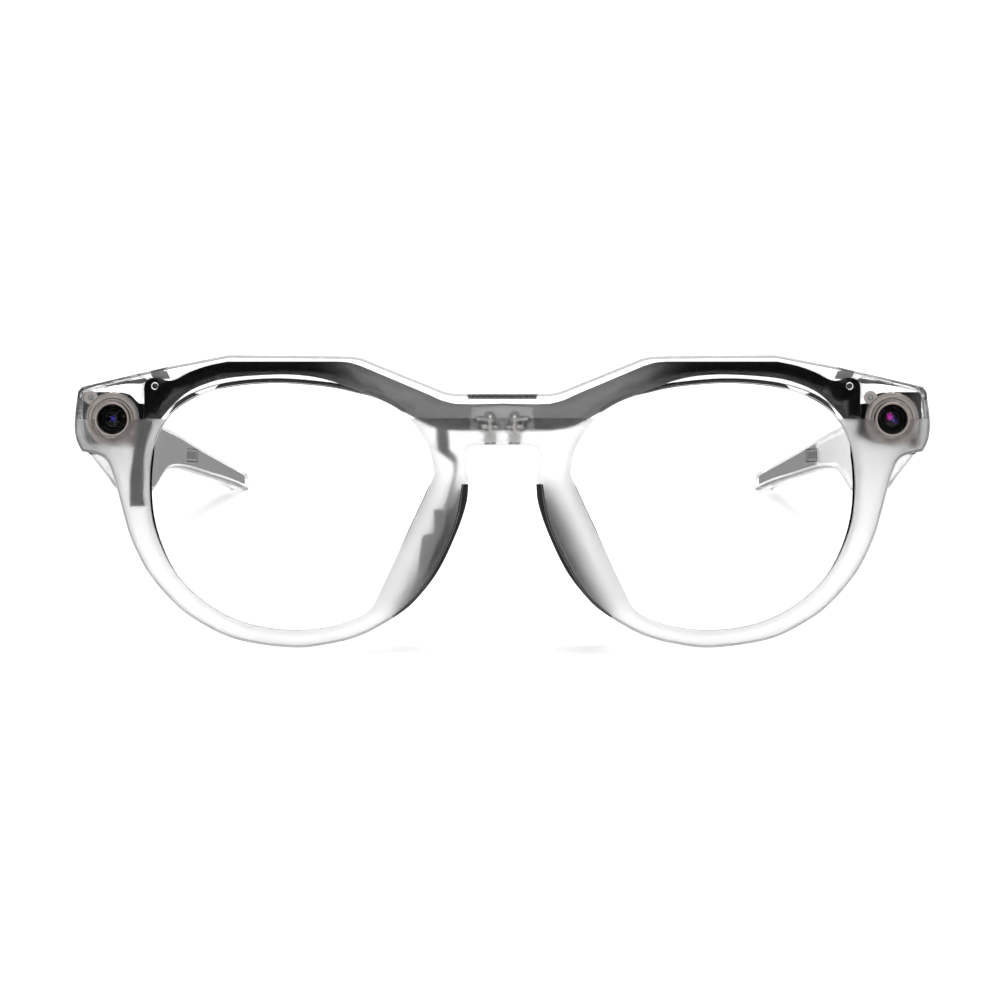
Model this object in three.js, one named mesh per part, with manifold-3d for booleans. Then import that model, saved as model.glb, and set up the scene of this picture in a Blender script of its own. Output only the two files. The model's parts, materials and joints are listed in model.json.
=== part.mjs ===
// Smart glasses with a clear moulded frame: two front shells that sandwich the lenses, a black brow
// carrier, a camera and a capture light, and two folding temples that hold the electronics.
//
// The glasses are drawn level, as they are worn: +X to the wearer's left, +Y from the front to the
// ears, +Z up, with z = 0 on the datum line of the lenses. The whole is then leant back until it
// stands on its two rims and its two temple tips. Millimetres throughout.
import * as THREE from 'three';
import { mergeVertices } from 'three/addons/utils/BufferGeometryUtils.js';
import Module from 'manifold-3d';

const wasm = await Module();
wasm.setup();

// ---------------------------------------------------------------- driving dimensions
const GAP = 0.3; // between pieces that rest on each other
const FIT = 0.15; // round a piece that drops into a pocket

const FRONT_WALL = 2.4; // depth of the front shell
const REAR_WALL = 2.3; // depth of the rear shell
const REAR_FROM = FRONT_WALL + GAP;
const FRONT_DEPTH = REAR_FROM + REAR_WALL;
const SWEEP = 8.5; // how far the ends of the front sweep back
const FACET = 10; // width of the flat strips that the sweep is made of
const RIM_BOTTOM = { x: 36.6, z: -25.5 }; // the lowest point of each rim

const LENS_THICKNESS = 1.7;
const LENS_BITE = 0.8; // how far the lens reaches under the rim
const LENS_FRONT = 2; // from the front face to the lens

const LAYER_FROM = 0.9; // depth of everything that lies flat behind the front face
const CARRIER_TO = 1.7; // the back of the brow carrier
const FLEX_THICKNESS = 0.4;
const BRIDGE_TOP = 18.4;
const BRIDGE_UNDER = 9.65;
const CONTACT = { x: 2.1, y: 2.6, radius: 1 };
const STRIP = { x: 5.95, front: 1.15, back: 3.75, low: 17.55 };
const PIN = { x: 60.6, z: 20, radius: 0.5 };

const MODULE = { x: 68.1, z: 14.2, face: 6.9 }; // the camera's axis and front, and the light's
const BEZEL = { radius: 4.7, front: 8.55, back: 9.05, lug: 1.2, offset: 3.8, hole: 0.55 };
const BARREL = { radius: 3.05, back: 13.7 };
const WINDOW_RADIUS = 2.55;

const ENDPIECE_BACK = 18.9;
const HINGE = { x: 66.3, y: 19.2, low: 11, high: 17, knuckle: 1.6, pin: 0.6, tongue: 1.8 };
const HINGE_MIDDLE = (HINGE.low + HINGE.high) / 2;
const FOOT_SCREW_X = 62.5;
const CHANNEL = { x: 68.6, front: 12.4, low: 10.2, high: 18.1 }; // the hinge's room in the endpiece

const TEMPLE = { outside: 74, width: 6.7, front: 19.5, back: 152, inset: 15.6 };
const TEMPLE_FACET = 14; // length of the flat stretches that the temple's curve is made of
const TEMPLE_WALL = 1;
const TEMPLE_COVER = 1.2; // thickness of the inner cover
const TEMPLE_RIM = 1.3; // wall round the cavity, seen from the side
const COVER_X = -(TEMPLE.width - TEMPLE_COVER); // the cover's hidden face
const SHELL_X = COVER_X + GAP; // the open edge of the outer shell
const SPEAKER = { from: 95, to: 106, low: 7.9, high: 10.3 };
const BUTTON = { from: 44, to: 53, low: -4, high: -2 };
const SLIDER = { from: 29, to: 32, low: 13, high: 15, travel: 2 };

const CLEAR = { color: 0xf4f6f6, roughness: 0.05, metalness: 0, transparent: true, opacity: 0.35 };
const LENS = { color: 0xffffff, roughness: 0.02, metalness: 0, transparent: true, opacity: 0.15 };
const BLACK = { color: 0x151515, roughness: 0.35, metalness: 0 };
const FLEX = { color: 0x3a3a3a, roughness: 0.5, metalness: 0 };
const GREY = { color: 0x808080, roughness: 0.55, metalness: 0 };
const BRONZE = { color: 0x8c827c, roughness: 0.35, metalness: 0.8 };
const STEEL = { color: 0xa8a8a8, roughness: 0.3, metalness: 1 };
const GOLD = { color: 0xd8b870, roughness: 0.25, metalness: 1 };
const SILICONE = { color: 0x4a4a4a, roughness: 0.6, metalness: 0 };
const DARK_GLASS = { color: 0x060608, roughness: 0.05, metalness: 0 };
const FOIL = { color: 0xb8b8ba, roughness: 0.4, metalness: 0.7 };
const BOARD = { color: 0x1d3a2c, roughness: 0.5, metalness: 0 };

// ---------------------------------------------------------------- solids
const v = (x, y) => new THREE.Vector2(x, y);

/** A closed geometry as a solid. */
function solid(geometry) {
  const bare = geometry.clone();
  bare.deleteAttribute('normal');
  bare.deleteAttribute('uv');
  const merged = mergeVertices(bare, 1e-4);
  return new wasm.Manifold(new wasm.Mesh({
    numProp: 3,
    vertProperties: merged.attributes.position.array,
    triVerts: new Uint32Array(merged.index.array),
  }));
}

/** Splits a flat polygon where one of its coordinates, numbered axis, passes a value. */
function split(polygon, axis, at) {
  const below = [];
  const above = [];
  const side = (p) => (Math.abs(p[axis] - at) < 1e-4 ? 0 : Math.sign(p[axis] - at));
  polygon.forEach((p, i) => {
    const next = polygon[(i + 1) % polygon.length];
    if (side(p) <= 0) below.push(p);
    if (side(p) >= 0) above.push(p);
    if (side(p) * side(next) >= 0) return;
    const [low, high] = side(p) < 0 ? [p, next] : [next, p];
    const share = (at - low[axis]) / (high[axis] - low[axis]);
    const cut = low.map((value, k) => value + (high[k] - value) * share);
    below.push(cut);
    above.push(cut);
  });
  return [below, above];
}

/** Cuts a solid's faces at every step along one axis, then moves every corner by a function. */
function bent(made, axis, step, move) {
  const { vertProperties: places, triVerts } = made.getMesh();
  const found = [];
  const fan = (polygon) => {
    for (let i = 2; i < polygon.length; i++) found.push(polygon[0], polygon[i - 1], polygon[i]);
  };
  for (let t = 0; t < triVerts.length; t += 3) {
    let rest = [0, 1, 2].map((k) => [...places.slice(triVerts[t + k] * 3, triVerts[t + k] * 3 + 3)]);
    const reach = rest.map((p) => p[axis]);
    const last = Math.ceil(Math.max(...reach) / step);
    for (let k = Math.floor(Math.min(...reach) / step) + 1; k < last; k++) {
      const [below, above] = split(rest, axis, k * step);
      fan(below);
      rest = above;
    }
    fan(rest);
  }
  const geometry = new THREE.BufferGeometry();
  geometry.setAttribute('position', new THREE.Float32BufferAttribute(found.flatMap((p) => move(...p)), 3));
  return solid(geometry);
}

/** A curve followed in straight steps, so that every piece that bends along it bends alike. */
function inSteps(curve, step, at) {
  const from = Math.floor(at / step) * step;
  return THREE.MathUtils.lerp(curve(from), curve(from + step), (at - from) / step);
}

/** The closed outline without points that stand on their neighbours or in line with them. */
function tidy(points) {
  const apart = points.filter((p, i) => p.distanceTo(points[(i + 1) % points.length]) > 1e-2);
  return apart.filter((p, i) => {
    const before = p.clone().sub(apart.at(i - 1));
    const after = apart[(i + 1) % apart.length].clone().sub(p);
    return Math.abs(before.cross(after)) > 1e-3 * before.length() * after.length();
  });
}

/** The outline moved outwards by distance, or inwards if it is negative. */
function grown(points, distance) {
  const side = THREE.ShapeUtils.isClockWise(points) ? -1 : 1;
  return points.map((p, i) => {
    const along = points[(i + 1) % points.length].clone().sub(points.at(i - 1)).normalize();
    return v(p.x + along.y * side * distance, p.y - along.x * side * distance);
  });
}

/** A plate across the line of sight: an outline in x and z, between two depths. */
function plate(points, front, back) {
  const shape = new THREE.Shape(tidy(points));
  const geometry = new THREE.ExtrudeGeometry(shape, { depth: back - front, bevelEnabled: false });
  return solid(geometry.rotateX(Math.PI / 2).translate(0, back, 0));
}

/** A plate seen from the side: an outline in y and z, between two values of x. */
function sidePlate(points, from, to) {
  const shape = new THREE.Shape(tidy(points));
  const geometry = new THREE.ExtrudeGeometry(shape, { depth: to - from, bevelEnabled: false });
  return solid(geometry.rotateX(Math.PI / 2).rotateZ(Math.PI / 2).translate(from, 0, 0));
}

/** A plate seen from above: an outline in x and y, between two heights. */
function deck(points, low, high) {
  const geometry = new THREE.ExtrudeGeometry(new THREE.Shape(points), { depth: high - low, bevelEnabled: false });
  return solid(geometry.translate(0, 0, low));
}

function box(low, high) {
  const size = high.map((h, i) => h - low[i]);
  const middle = high.map((h, i) => (h + low[i]) / 2);
  return solid(new THREE.BoxGeometry(...size).translate(...middle));
}

/** A round bar along y, between two depths. */
function roundY(x, z, radius, front, back, sides = 20) {
  const geometry = new THREE.CylinderGeometry(radius, radius, back - front, sides);
  return solid(geometry.translate(x, (front + back) / 2, z));
}

/** A round bar along z, between two heights. */
function roundZ(x, y, radius, low, high, sides = 16) {
  const geometry = new THREE.CylinderGeometry(radius, radius, high - low, sides).rotateX(Math.PI / 2);
  return solid(geometry.translate(x, y, (low + high) / 2));
}

const mirrored = (points) => points.map((p) => v(-p.x, p.y)).reverse();
const both = (half) => [...half, ...mirrored(half)];

/** The depth of the front face at x. */
const sweepAt = (x) => inSteps((at) => SWEEP * Math.sin(THREE.MathUtils.degToRad(at)) ** 2, FACET, x);
const swept = (made) => bent(made, 0, FACET, (x, y, z) => [x, y + sweepAt(x), z]);

// ---------------------------------------------------------------- outlines of the front
/** The outer edge of both shells, from the top of the bridge round to its underside. */
function silhouette() {
  const path = new THREE.Path();
  path.moveTo(0, BRIDGE_TOP).lineTo(7.2, BRIDGE_TOP);
  path.splineThru([v(9.6, 18.7), v(12, 19.6)]);
  path.lineTo(22.8, 24);
  path.splineThru([v(24.6, 24.7), v(26.8, 24.95)]);
  path.lineTo(47.4, 25.3).lineTo(58.5, 23.3).lineTo(73.5, 19.9).lineTo(74.2, 19.1);
  path.splineThru([v(74.8, 13.9), v(74.5, 10.7), v(73.5, 8.6)]);
  path.splineThru([v(69.8, 7.6), v(68.1, 4.7), v(66.3, -1.8), v(64.8, -6.7), v(61.9, -12.4), v(57.6, -17.5),
    v(53.4, -20.8), v(46.4, -24.1), v(RIM_BOTTOM.x, RIM_BOTTOM.z), v(29.8, -24.8), v(24.1, -23.2), v(18.8, -20.3)]);
  path.splineThru([v(14.2, -15.9), v(10.3, -9.4), v(7.8, -3.4), v(6.75, 2.7)]);
  path.lineTo(5.75, 3.3);
  path.splineThru([v(6.25, 6.5), v(6.4, 8.4)]);
  path.quadraticCurveTo(6.3, 9.5, 4.4, 9.6);
  path.lineTo(0, BRIDGE_UNDER);
  return path.getPoints(1);
}

/** The visible opening in front of one lens. */
function opening() {
  const loop = [[39.5, 20.5], [47.9, 19.8], [54.2, 17.8], [58.5, 14.4], [60.9, 9.4], [61.6, 2.1], [60.6, -5.2],
    [56.9, -12.8], [51.1, -18.2], [44.3, -21.4], [36.4, -22.5], [29, -21.7], [23.3, -19.2], [20.9, -15.2],
    [17.3, -7.6], [12.3, 3.2], [11.9, 5.6], [13, 9.8], [16.4, 14.5], [20.7, 17.3], [25.9, 18.9], [31.1, 19.9]];
  const curve = new THREE.CatmullRomCurve3(loop.map(([x, z]) => new THREE.Vector3(x, z, 0)), true);
  return curve.getPoints(40).slice(0, -1).map((p) => v(p.x, p.y));
}

/** The black carrier that fills the brow, from the middle of its top edge round to its lower edge. */
function browBand() {
  const path = new THREE.Path();
  path.moveTo(0, 16.75).lineTo(5.6, 16.65).lineTo(8.2, 16.75);
  path.splineThru([v(10.4, 17.3), v(12.6, 18.3)]);
  path.lineTo(24.4, 23.3);
  path.splineThru([v(26.4, 23.9), v(28.4, 24.1)]);
  path.lineTo(47.8, 24.2);
  path.splineThru([v(51.3, 23.5), v(54.5, 22.4), v(56.6, 21.3), v(58.2, 20.9), v(59.8, 21.4)]);
  path.splineThru([v(61.3, 21.4), v(62.4, 20.4), v(62.5, 18.9)]);
  path.lineTo(62.4, 14.2).lineTo(59.6, 14.2);
  path.splineThru([v(57.5, 16.6), v(54.8, 18.9), v(51.4, 20.4), v(47.7, 21.3), v(41.4, 21.8), v(36, 21.8),
    v(31.1, 21.1), v(25.9, 19.4), v(20.7, 17.4), v(16.2, 14.9), v(14.3, 13.8)]);
  path.splineThru([v(11.6, 12.6), v(8.2, 12.1)]);
  path.lineTo(0, 12.05);
  return path.getPoints(1);
}

/** One nose pad, down its contact edge and back up its hidden edge. */
function padOutline() {
  const path = new THREE.Path();
  path.moveTo(5.75, 2.9);
  path.splineThru([v(6.1, -0.5), v(7.85, -5.7), v(11.1, -12.4), v(15.2, -17.6), v(18.3, -20.1)]);
  path.lineTo(19, -19.4);
  path.splineThru([v(16.2, -14.8), v(13.2, -8.4), v(10.6, -2.4), v(8.2, 1.6), v(7, 2.9)]);
  return path.getPoints(1);
}

/** The antenna runs down inside the wearer's right rim from the end of the brow carrier. */
const antennaOutline = () => [v(-64.3, 13.9), v(-64.4, 8), v(-65, 3.9), v(-65, -1), v(-62.2, -1), v(-62.2, 3.9),
  v(-62.5, 8), v(-62.5, 13.9)];

/** The sensor's flex comes from behind the brow carrier and turns down along the nose. */
const flexOutline = () => [v(-11.5, 13.4), v(-11.2, 8.7), v(-9.6, 7.7), v(-8.8, 6.6), v(-8.75, 5), v(-9.4, 2.6),
  v(-10.4, -1.3), v(-9.6, -1.3), v(-8.5, 2.5), v(-7.9, 5), v(-7.9, 7), v(-8.3, 8.3), v(-9.3, 9), v(-9.4, 13.4)];

/** The sensor that feels whether the glasses are worn, on the wearer's right side of the nose. */
const sensorOutline = () => [v(-9.6, -1.6), v(-11.8, -1.6), v(-11.8, -5.6), v(-13.8, -6.2), v(-14.6, -11.9),
  v(-13, -11.9), v(-11.3, -7.5), v(-10.2, -5.6)];

const rim = tidy(both(silhouette()));
const eye = opening();
const band = tidy(both(browBand()));

// ---------------------------------------------------------------- the front
/** The eye openings, the lens grooves and every pocket that both shells share, before the sweep. */
function sharedPockets() {
  const groove = grown(eye, LENS_BITE + FIT);
  const [front, back] = [LENS_FRONT - FIT, LENS_FRONT + LENS_THICKNESS + FIT];
  const pockets = [eye, mirrored(eye)].map((points) => plate(points, -1, FRONT_DEPTH + 1));
  for (const points of [groove, mirrored(groove)]) pockets.push(plate(points, front, back));
  pockets.push(box([-STRIP.x - FIT, STRIP.front - FIT, STRIP.low - FIT], [STRIP.x + FIT, STRIP.back + FIT, 20]));
  for (const side of [-1, 1]) {
    const reach = CONTACT.radius + FIT;
    const low = [side * CONTACT.x - reach, LAYER_FROM - FIT, 0];
    pockets.push(box(low, [side * CONTACT.x + reach, CONTACT.y + reach, 12.2]));
    pockets.push(roundY(side * PIN.x, PIN.z, PIN.radius + FIT, LAYER_FROM - FIT, 4.1, 8));
  }
  return pockets;
}

/** The two places of a bezel's fixing lugs. */
const lugs = (x) => [-1, 1].map((lug) => [x + lug * BEZEL.offset, MODULE.z - lug * BEZEL.offset]);

/** The visible half of the frame, with seats for the carrier, the flexes and the two modules. */
function frontShell() {
  const behind = FRONT_WALL + 1;
  const floor = LAYER_FROM - FIT;
  let shell = plate(rim, 0, FRONT_WALL);
  for (const pocket of sharedPockets()) shell = shell.subtract(pocket);
  shell = shell.subtract(plate(grown(band, FIT), floor, behind));
  shell = shell.subtract(plate(grown(antennaOutline(), FIT), floor, behind));
  shell = shell.subtract(plate(grown(sensorOutline(), FIT), floor, behind));
  shell = shell.subtract(plate(grown(flexOutline(), FIT), CARRIER_TO, behind));
  shell = swept(shell);
  for (const x of [MODULE.x, -MODULE.x]) {
    shell = shell.subtract(roundY(x, MODULE.z, BARREL.radius + FIT, 0, 20));
    shell = shell.subtract(roundY(x, MODULE.z, BEZEL.radius + FIT, BEZEL.front - FIT, 20, 24));
    for (const lug of lugs(x)) {
      shell = shell.subtract(roundY(...lug, BEZEL.lug + FIT, BEZEL.front - FIT, 20, 12));
      shell = shell.subtract(roundY(...lug, BEZEL.hole, BEZEL.front - 0.45, 20, 8));
    }
  }
  return shell;
}

/** The half that faces the wearer, with the endpieces that carry the hinges. */
function rearShell() {
  let shell = plate(rim, REAR_FROM, FRONT_DEPTH);
  for (const pocket of sharedPockets()) shell = shell.subtract(pocket);
  shell = swept(shell);
  const endpiece = [v(63, 10.6), v(65.6, 8.9), v(73.1, 8.9), v(74, 10.7), v(74.3, 13.9), v(73.8, 19),
    v(73.2, 19.6), v(63, 21.7)];
  for (const side of [1, -1]) {
    const cutBox = (x0, x1, low, high) => {
      const [from, to] = [x0 * side, x1 * side].sort((a, b) => a - b);
      shell = shell.subtract(box([from, ...low], [to, ...high]));
    };
    shell = shell.add(plate(side > 0 ? endpiece : mirrored(endpiece), 11, ENDPIECE_BACK));
    shell = shell.subtract(roundY(MODULE.x * side, MODULE.z, BARREL.radius + FIT, 0, 16.2));
    cutBox(64.6, 71.6, [13.4, MODULE.z - 3.4], [15.2, MODULE.z + 3.4]);
    cutBox(60, CHANNEL.x, [CHANNEL.front, CHANNEL.low], [22, CHANNEL.high]);
    shell = shell.subtract(roundY(FOOT_SCREW_X * side, HINGE_MIDDLE, 0.6, 10.8, 14, 8));
  }
  return shell;
}

const lens = () => swept(plate(grown(eye, LENS_BITE), LENS_FRONT, LENS_FRONT + LENS_THICKNESS));

/** The brow carrier, thinned behind the charging plate, with a locating hole at each end. */
function browCarrier() {
  let carrier = plate(band, LAYER_FROM, CARRIER_TO);
  carrier = carrier.subtract(box([-5.75, 0, 11.9], [5.75, LAYER_FROM + 0.45, 16.5]));
  for (const side of [-1, 1]) {
    carrier = carrier.subtract(roundY(side * PIN.x, PIN.z, PIN.radius + FIT, 0, 4, 8));
  }
  return swept(carrier);
}

const antennaFlex = () => swept(plate(antennaOutline(), LAYER_FROM, LAYER_FROM + FLEX_THICKNESS));
const sensorFlex = () => swept(plate(flexOutline(), CARRIER_TO + FIT, CARRIER_TO + FIT + FLEX_THICKNESS));
const wearSensor = () => swept(plate(sensorOutline(), LAYER_FROM, FRONT_WALL - FIT));
const locatingPin = () => swept(roundY(PIN.x, PIN.z, PIN.radius, LAYER_FROM, 3.9, 8));

/** The nose pad: a soft crescent behind the frame that flares out towards the face. */
function nosePad() {
  const flare = 0.22;
  const depth = 4.7;
  const body = plate(padOutline(), FRONT_DEPTH + GAP, FRONT_DEPTH + GAP + depth);
  return swept(bent(body, 1, 20, (x, y, z) => [x + (y - FRONT_DEPTH) * flare, y, z]));
}

// ---------------------------------------------------------------- bridge
/** The metal plate of the charging module, notched for the two contacts. */
function chargingPlate() {
  const outline = [v(-5.5, 12.1), v(5.5, 12.1), v(5.5, 16.15), v(0, 16.4), v(-5.5, 16.15)];
  let made = plate(outline, LAYER_FROM, LAYER_FROM + 0.3);
  for (const side of [-1, 1]) {
    made = made.subtract(box([side * CONTACT.x - 1.1, 0, 11], [side * CONTACT.x + 1.1, 4, 14.7]));
  }
  return swept(made);
}

/** A charging contact: a barrel with its flat end down, and a cross-shaped clip up the front. */
function chargingContact() {
  const { x, y, radius } = CONTACT;
  const front = LAYER_FROM;
  const barrel = roundZ(x, y, radius, BRIDGE_UNDER + 0.1, 11.8);
  const neck = box([x - 0.45, front, 11.3], [x + 0.45, y, 11.75]);
  const tongue = box([x - 0.45, front, 11.3], [x + 0.45, front + 0.3, 14.5]);
  const arms = box([x - 0.95, front, 13], [x + 0.95, front + 0.3, 13.5]);
  return barrel.add(neck).add(tongue).add(arms);
}

/** The strip over the bridge's microphone, with its sound hole. */
function microphoneStrip() {
  const strip = box([-STRIP.x, STRIP.front, STRIP.low], [STRIP.x, STRIP.back, BRIDGE_TOP - 0.05]);
  return strip.subtract(roundZ(0, (STRIP.front + STRIP.back) / 2, 0.4, 0, 30, 12));
}

// ---------------------------------------------------------------- camera and capture light
/** A module's bezel: a ring with two fixing lugs. */
function bezel(x) {
  let ring = roundY(x, MODULE.z, BEZEL.radius, BEZEL.front, BEZEL.back, 24);
  for (const lug of lugs(x)) {
    ring = ring.add(roundY(...lug, BEZEL.lug, BEZEL.front, BEZEL.back, 12));
    ring = ring.subtract(roundY(...lug, BEZEL.hole, 0, 20, 8));
  }
  return ring.subtract(roundY(x, MODULE.z, BARREL.radius + FIT, 0, 20));
}

/** A screw that holds the bezel against the front shell, driven from behind. */
function bezelScrew(at) {
  const head = roundY(...at, 0.75, BEZEL.back + 0.07, BEZEL.back + 0.37, 8);
  return head.add(roundY(...at, 0.42, BEZEL.front - 0.35, BEZEL.back + 0.2, 8));
}

/** A module's barrel: a tube with an inner lip that the window sits on. */
function barrel() {
  const { face } = MODULE;
  const [outer, inner] = [BARREL.radius, WINDOW_RADIUS - 0.5];
  const seat = WINDOW_RADIUS + 0.1;
  const profile = [v(inner, BARREL.back), v(outer, BARREL.back), v(outer, face + 0.2), v(outer - 0.2, face),
    v(seat, face), v(seat, face + 0.8), v(inner, face + 0.8), v(inner, BARREL.back)];
  return solid(new THREE.LatheGeometry(profile.reverse(), 20).translate(MODULE.x, 0, MODULE.z));
}

/** A module's window: a shallow dome. */
function moduleWindow() {
  const { face } = MODULE;
  const radius = WINDOW_RADIUS;
  const profile = [v(0, face + 0.65), v(radius, face + 0.65), v(radius, face + 0.25), v(radius * 0.6, face + 0.12),
    v(0, face + 0.05)];
  return solid(new THREE.LatheGeometry(profile.reverse(), 20).translate(MODULE.x, 0, MODULE.z));
}

/** The board behind a module, with the round element that looks out through the window. */
function moduleBoard(elementRadius) {
  const front = BARREL.back + FIT;
  const board = box([MODULE.x - 3, front, MODULE.z - 3], [MODULE.x + 3, front + 0.8, MODULE.z + 3]);
  return board.add(roundY(MODULE.x, MODULE.z, elementRadius, MODULE.face + 1.7, front + 0.4, 16));
}

// ---------------------------------------------------------------- hinges
const pinHole = () => roundZ(HINGE.x, HINGE.y, HINGE.pin + 0.12, HINGE.low - 1, HINGE.high + 1, 12);

/** The half of the hinge that is screwed to the rear shell: a foot, an arm and two knuckles. */
function hingeBase() {
  const { x, y, low, high } = HINGE;
  const half = HINGE.tongue / 2 + 0.1;
  const outline = [v(61.6, 12.6), v(64.9, 12.6), v(64.9, 16.4), v(66.6, 17.7), v(x, y), v(64.7, y), v(63.6, 17.4),
    v(63.6, 13.7), v(61.6, 13.7)];
  let base = deck(outline, low, high).add(roundZ(x, y, HINGE.knuckle, low, high));
  base = base.subtract(box([62, 16.9, HINGE_MIDDLE - half], [70, 24, HINGE_MIDDLE + half]));
  base = base.subtract(roundY(FOOT_SCREW_X, HINGE_MIDDLE, 0.6, 12, 14, 8));
  return base.subtract(pinHole());
}

/** The temple's half: a knuckle between the other two, and an arm that runs into the temple. */
function hingeKnuckle() {
  const { x, y } = HINGE;
  const [low, high] = [HINGE_MIDDLE - HINGE.tongue / 2, HINGE_MIDDLE + HINGE.tongue / 2];
  const outline = [v(x, y), v(67.5, 20), v(71, 24.6), v(71, 37), v(69.4, 37), v(69.4, 26.2), v(66.6, 22.4),
    v(65.4, 20.3)];
  return deck(outline, low, high).add(roundZ(x, y, HINGE.knuckle, low, high)).subtract(pinHole());
}

/** The hinge's axle, with a slotted head. */
function hingeScrew() {
  const { x, y, low, high } = HINGE;
  const head = roundZ(x, y, 1.15, high + 0.12, high + 0.8);
  const shank = roundZ(x, y, HINGE.pin, low - 0.3, high + 0.4, 12);
  return head.add(shank).subtract(box([x - 2, y - 0.15, high + 0.5], [x + 2, y + 0.15, high + 2]));
}

/** The screw through the hinge's foot. */
function footScrew() {
  const head = roundY(FOOT_SCREW_X, HINGE_MIDDLE, 0.75, 13.8, 14.3, 8);
  return head.add(roundY(FOOT_SCREW_X, HINGE_MIDDLE, 0.45, 11, 14, 8));
}

// ---------------------------------------------------------------- temples
const TOP_EDGE = new THREE.SplineCurve([v(TEMPLE.front, 19.2), v(45, 17), v(70, 14.7), v(87, 13.3), v(111, 10.7),
  v(132, 8.3), v(146, 6.5), v(150, 5.9)]).getPoints(40);
const LOWER_EDGE = new THREE.SplineCurve([v(TEMPLE.front, 8.2), v(33, 6.2), v(45, 4.2), v(54, 2.3), v(60, 1.7),
  v(64, 2.2), v(69, 3.7), v(76, 5.6), v(84, 6.3), v(97, 6.2), v(117, 5.1), v(137, 3.8), v(151.2, 2.3)]).getPoints(60);

/** The height of one of the two edges at a depth. */
function heightAt(edge, y) {
  const i = Math.max(1, edge.findIndex((p) => p.x >= y));
  const [a, b] = [edge[i - 1], edge[i]];
  return THREE.MathUtils.lerp(a.y, b.y, (y - a.x) / (b.x - a.x));
}

/** The stretch of the temple's side view between two depths, moved in by inset. */
function stretch(from, to, inset) {
  const steps = Math.ceil((to - from) / (TEMPLE_FACET / 2));
  const depths = Array.from({ length: steps + 1 }, (_, i) => from + (to - from) * i / steps);
  const top = depths.map((y) => v(y, heightAt(TOP_EDGE, y) - inset));
  const bottom = depths.map((y) => v(y, heightAt(LOWER_EDGE, y) + inset));
  return [...top, ...bottom.reverse()];
}

/** The whole side view, with its blunt tip. */
function templeOutline() {
  const body = stretch(TEMPLE.front, 150, 0);
  const half = body.length / 2;
  return [...body.slice(0, half), v(151.6, 4.9), v(TEMPLE.back, 2.8), v(151.2, 2.3), ...body.slice(half)];
}

/** Takes a piece drawn with x = 0 on the temple's outer face to its place on the wearer's left. */
function onTemple(made) {
  const inwards = (y) => TEMPLE.inset * Math.max(0, (y - 20) / (TEMPLE.back - 20)) ** 2.2;
  const slimmed = (y) => 1 - 0.4 * Math.max(0, (y - 90) / (TEMPLE.back - 90)) ** 1.5;
  return bent(made, 1, TEMPLE_FACET, (x, y, z) => {
    const outside = TEMPLE.outside - inSteps(inwards, TEMPLE_FACET, y);
    return [outside + x * inSteps(slimmed, TEMPLE_FACET, y), y, z];
  });
}

/** The room round the hinge that both halves of a temple leave free. */
function hingeRoom(made) {
  const { x, y, low, high } = HINGE;
  const half = HINGE.tongue / 2 + 0.1;
  const knuckles = roundZ(x, y, HINGE.knuckle + GAP, low - 0.5, high + 1);
  const arm = box([x, y - 1, HINGE_MIDDLE - half], [71.3, 26.5, HINGE_MIDDLE + half]);
  return made.subtract(knuckles).subtract(arm);
}

/** The outer shell: a tray, open towards the head. */
function templeShell(hasButton) {
  const cavity = sidePlate(stretch(23, 146, TEMPLE_RIM), -9, -TEMPLE_WALL);
  let shell = sidePlate(templeOutline(), SHELL_X, 0).subtract(cavity);
  if (hasButton) {
    const [low, high] = [[BUTTON.low - FIT, BUTTON.from - FIT, 10], [BUTTON.high + FIT, BUTTON.to + FIT, 20]];
    shell = shell.subtract(box(low, high));
  }
  return hingeRoom(onTemple(shell));
}

/** The inner cover, open for the speaker and, on the wearer's left, for the power slider. */
function templeCover(hasSlider) {
  let cover = sidePlate(templeOutline(), -TEMPLE.width, COVER_X);
  cover = cover.subtract(box([-9, SPEAKER.from - FIT, SPEAKER.low - FIT], [0, SPEAKER.to + FIT, SPEAKER.high + FIT]));
  if (hasSlider) {
    const end = SLIDER.to + SLIDER.travel + FIT;
    cover = cover.subtract(box([-9, SLIDER.from - FIT, SLIDER.low - FIT], [0, end, SLIDER.high + FIT]));
  }
  return hingeRoom(onTemple(cover));
}

/** The grey chassis plate that faces the head, with a window for the speaker. */
function templeCore() {
  const core = sidePlate(stretch(38, 112, TEMPLE_RIM + FIT), -4.95, -4.45);
  return onTemple(core.subtract(box([-9, SPEAKER.from, SPEAKER.low], [0, SPEAKER.to, SPEAKER.high])));
}

const tipCore = () => onTemple(sidePlate(stretch(114, 145, TEMPLE_RIM + FIT), -3.2, -1.6));
const speaker = () => onTemple(sidePlate(stretch(93, 109, 1.8), -4.25, -1.3));
const battery = () => onTemple(sidePlate(stretch(42, 86, 2), -4.25, -1.2));
const touchStrip = () => onTemple(sidePlate(stretch(58, 88, 2.4), -1.5, -TEMPLE_WALL - FIT));

/** The speaker's grille, flush with the cover. */
function speakerGrille() {
  const { from, to, low, high } = SPEAKER;
  let grille = box([-TEMPLE.width + 0.1, from, low], [COVER_X + 0.1, to, high]);
  for (let y = from + 1; y < to - 1; y += 1.6) {
    grille = grille.subtract(box([-9, y, low + 0.5], [0, y + 0.9, high - 0.5]));
  }
  return onTemple(grille);
}

/** The main board with its processor and its memory. */
function mainBoard() {
  const board = sidePlate(stretch(56, 90, 2), -3.4, -2.6).add(box([-3.4, 41, 7.5], [-2.6, 57, 12.2]));
  const processor = box([-4.2, 72, 7.6], [-3, 80, 11.6]);
  const memory = box([-4.2, 60, 5], [-3, 66, 9]);
  return onTemple(board.add(processor).add(memory));
}

const buttonSwitch = () => onTemple(box([-4.1, 46.5, 12.4], [-1.9, 50.5, 13.6]));

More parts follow.
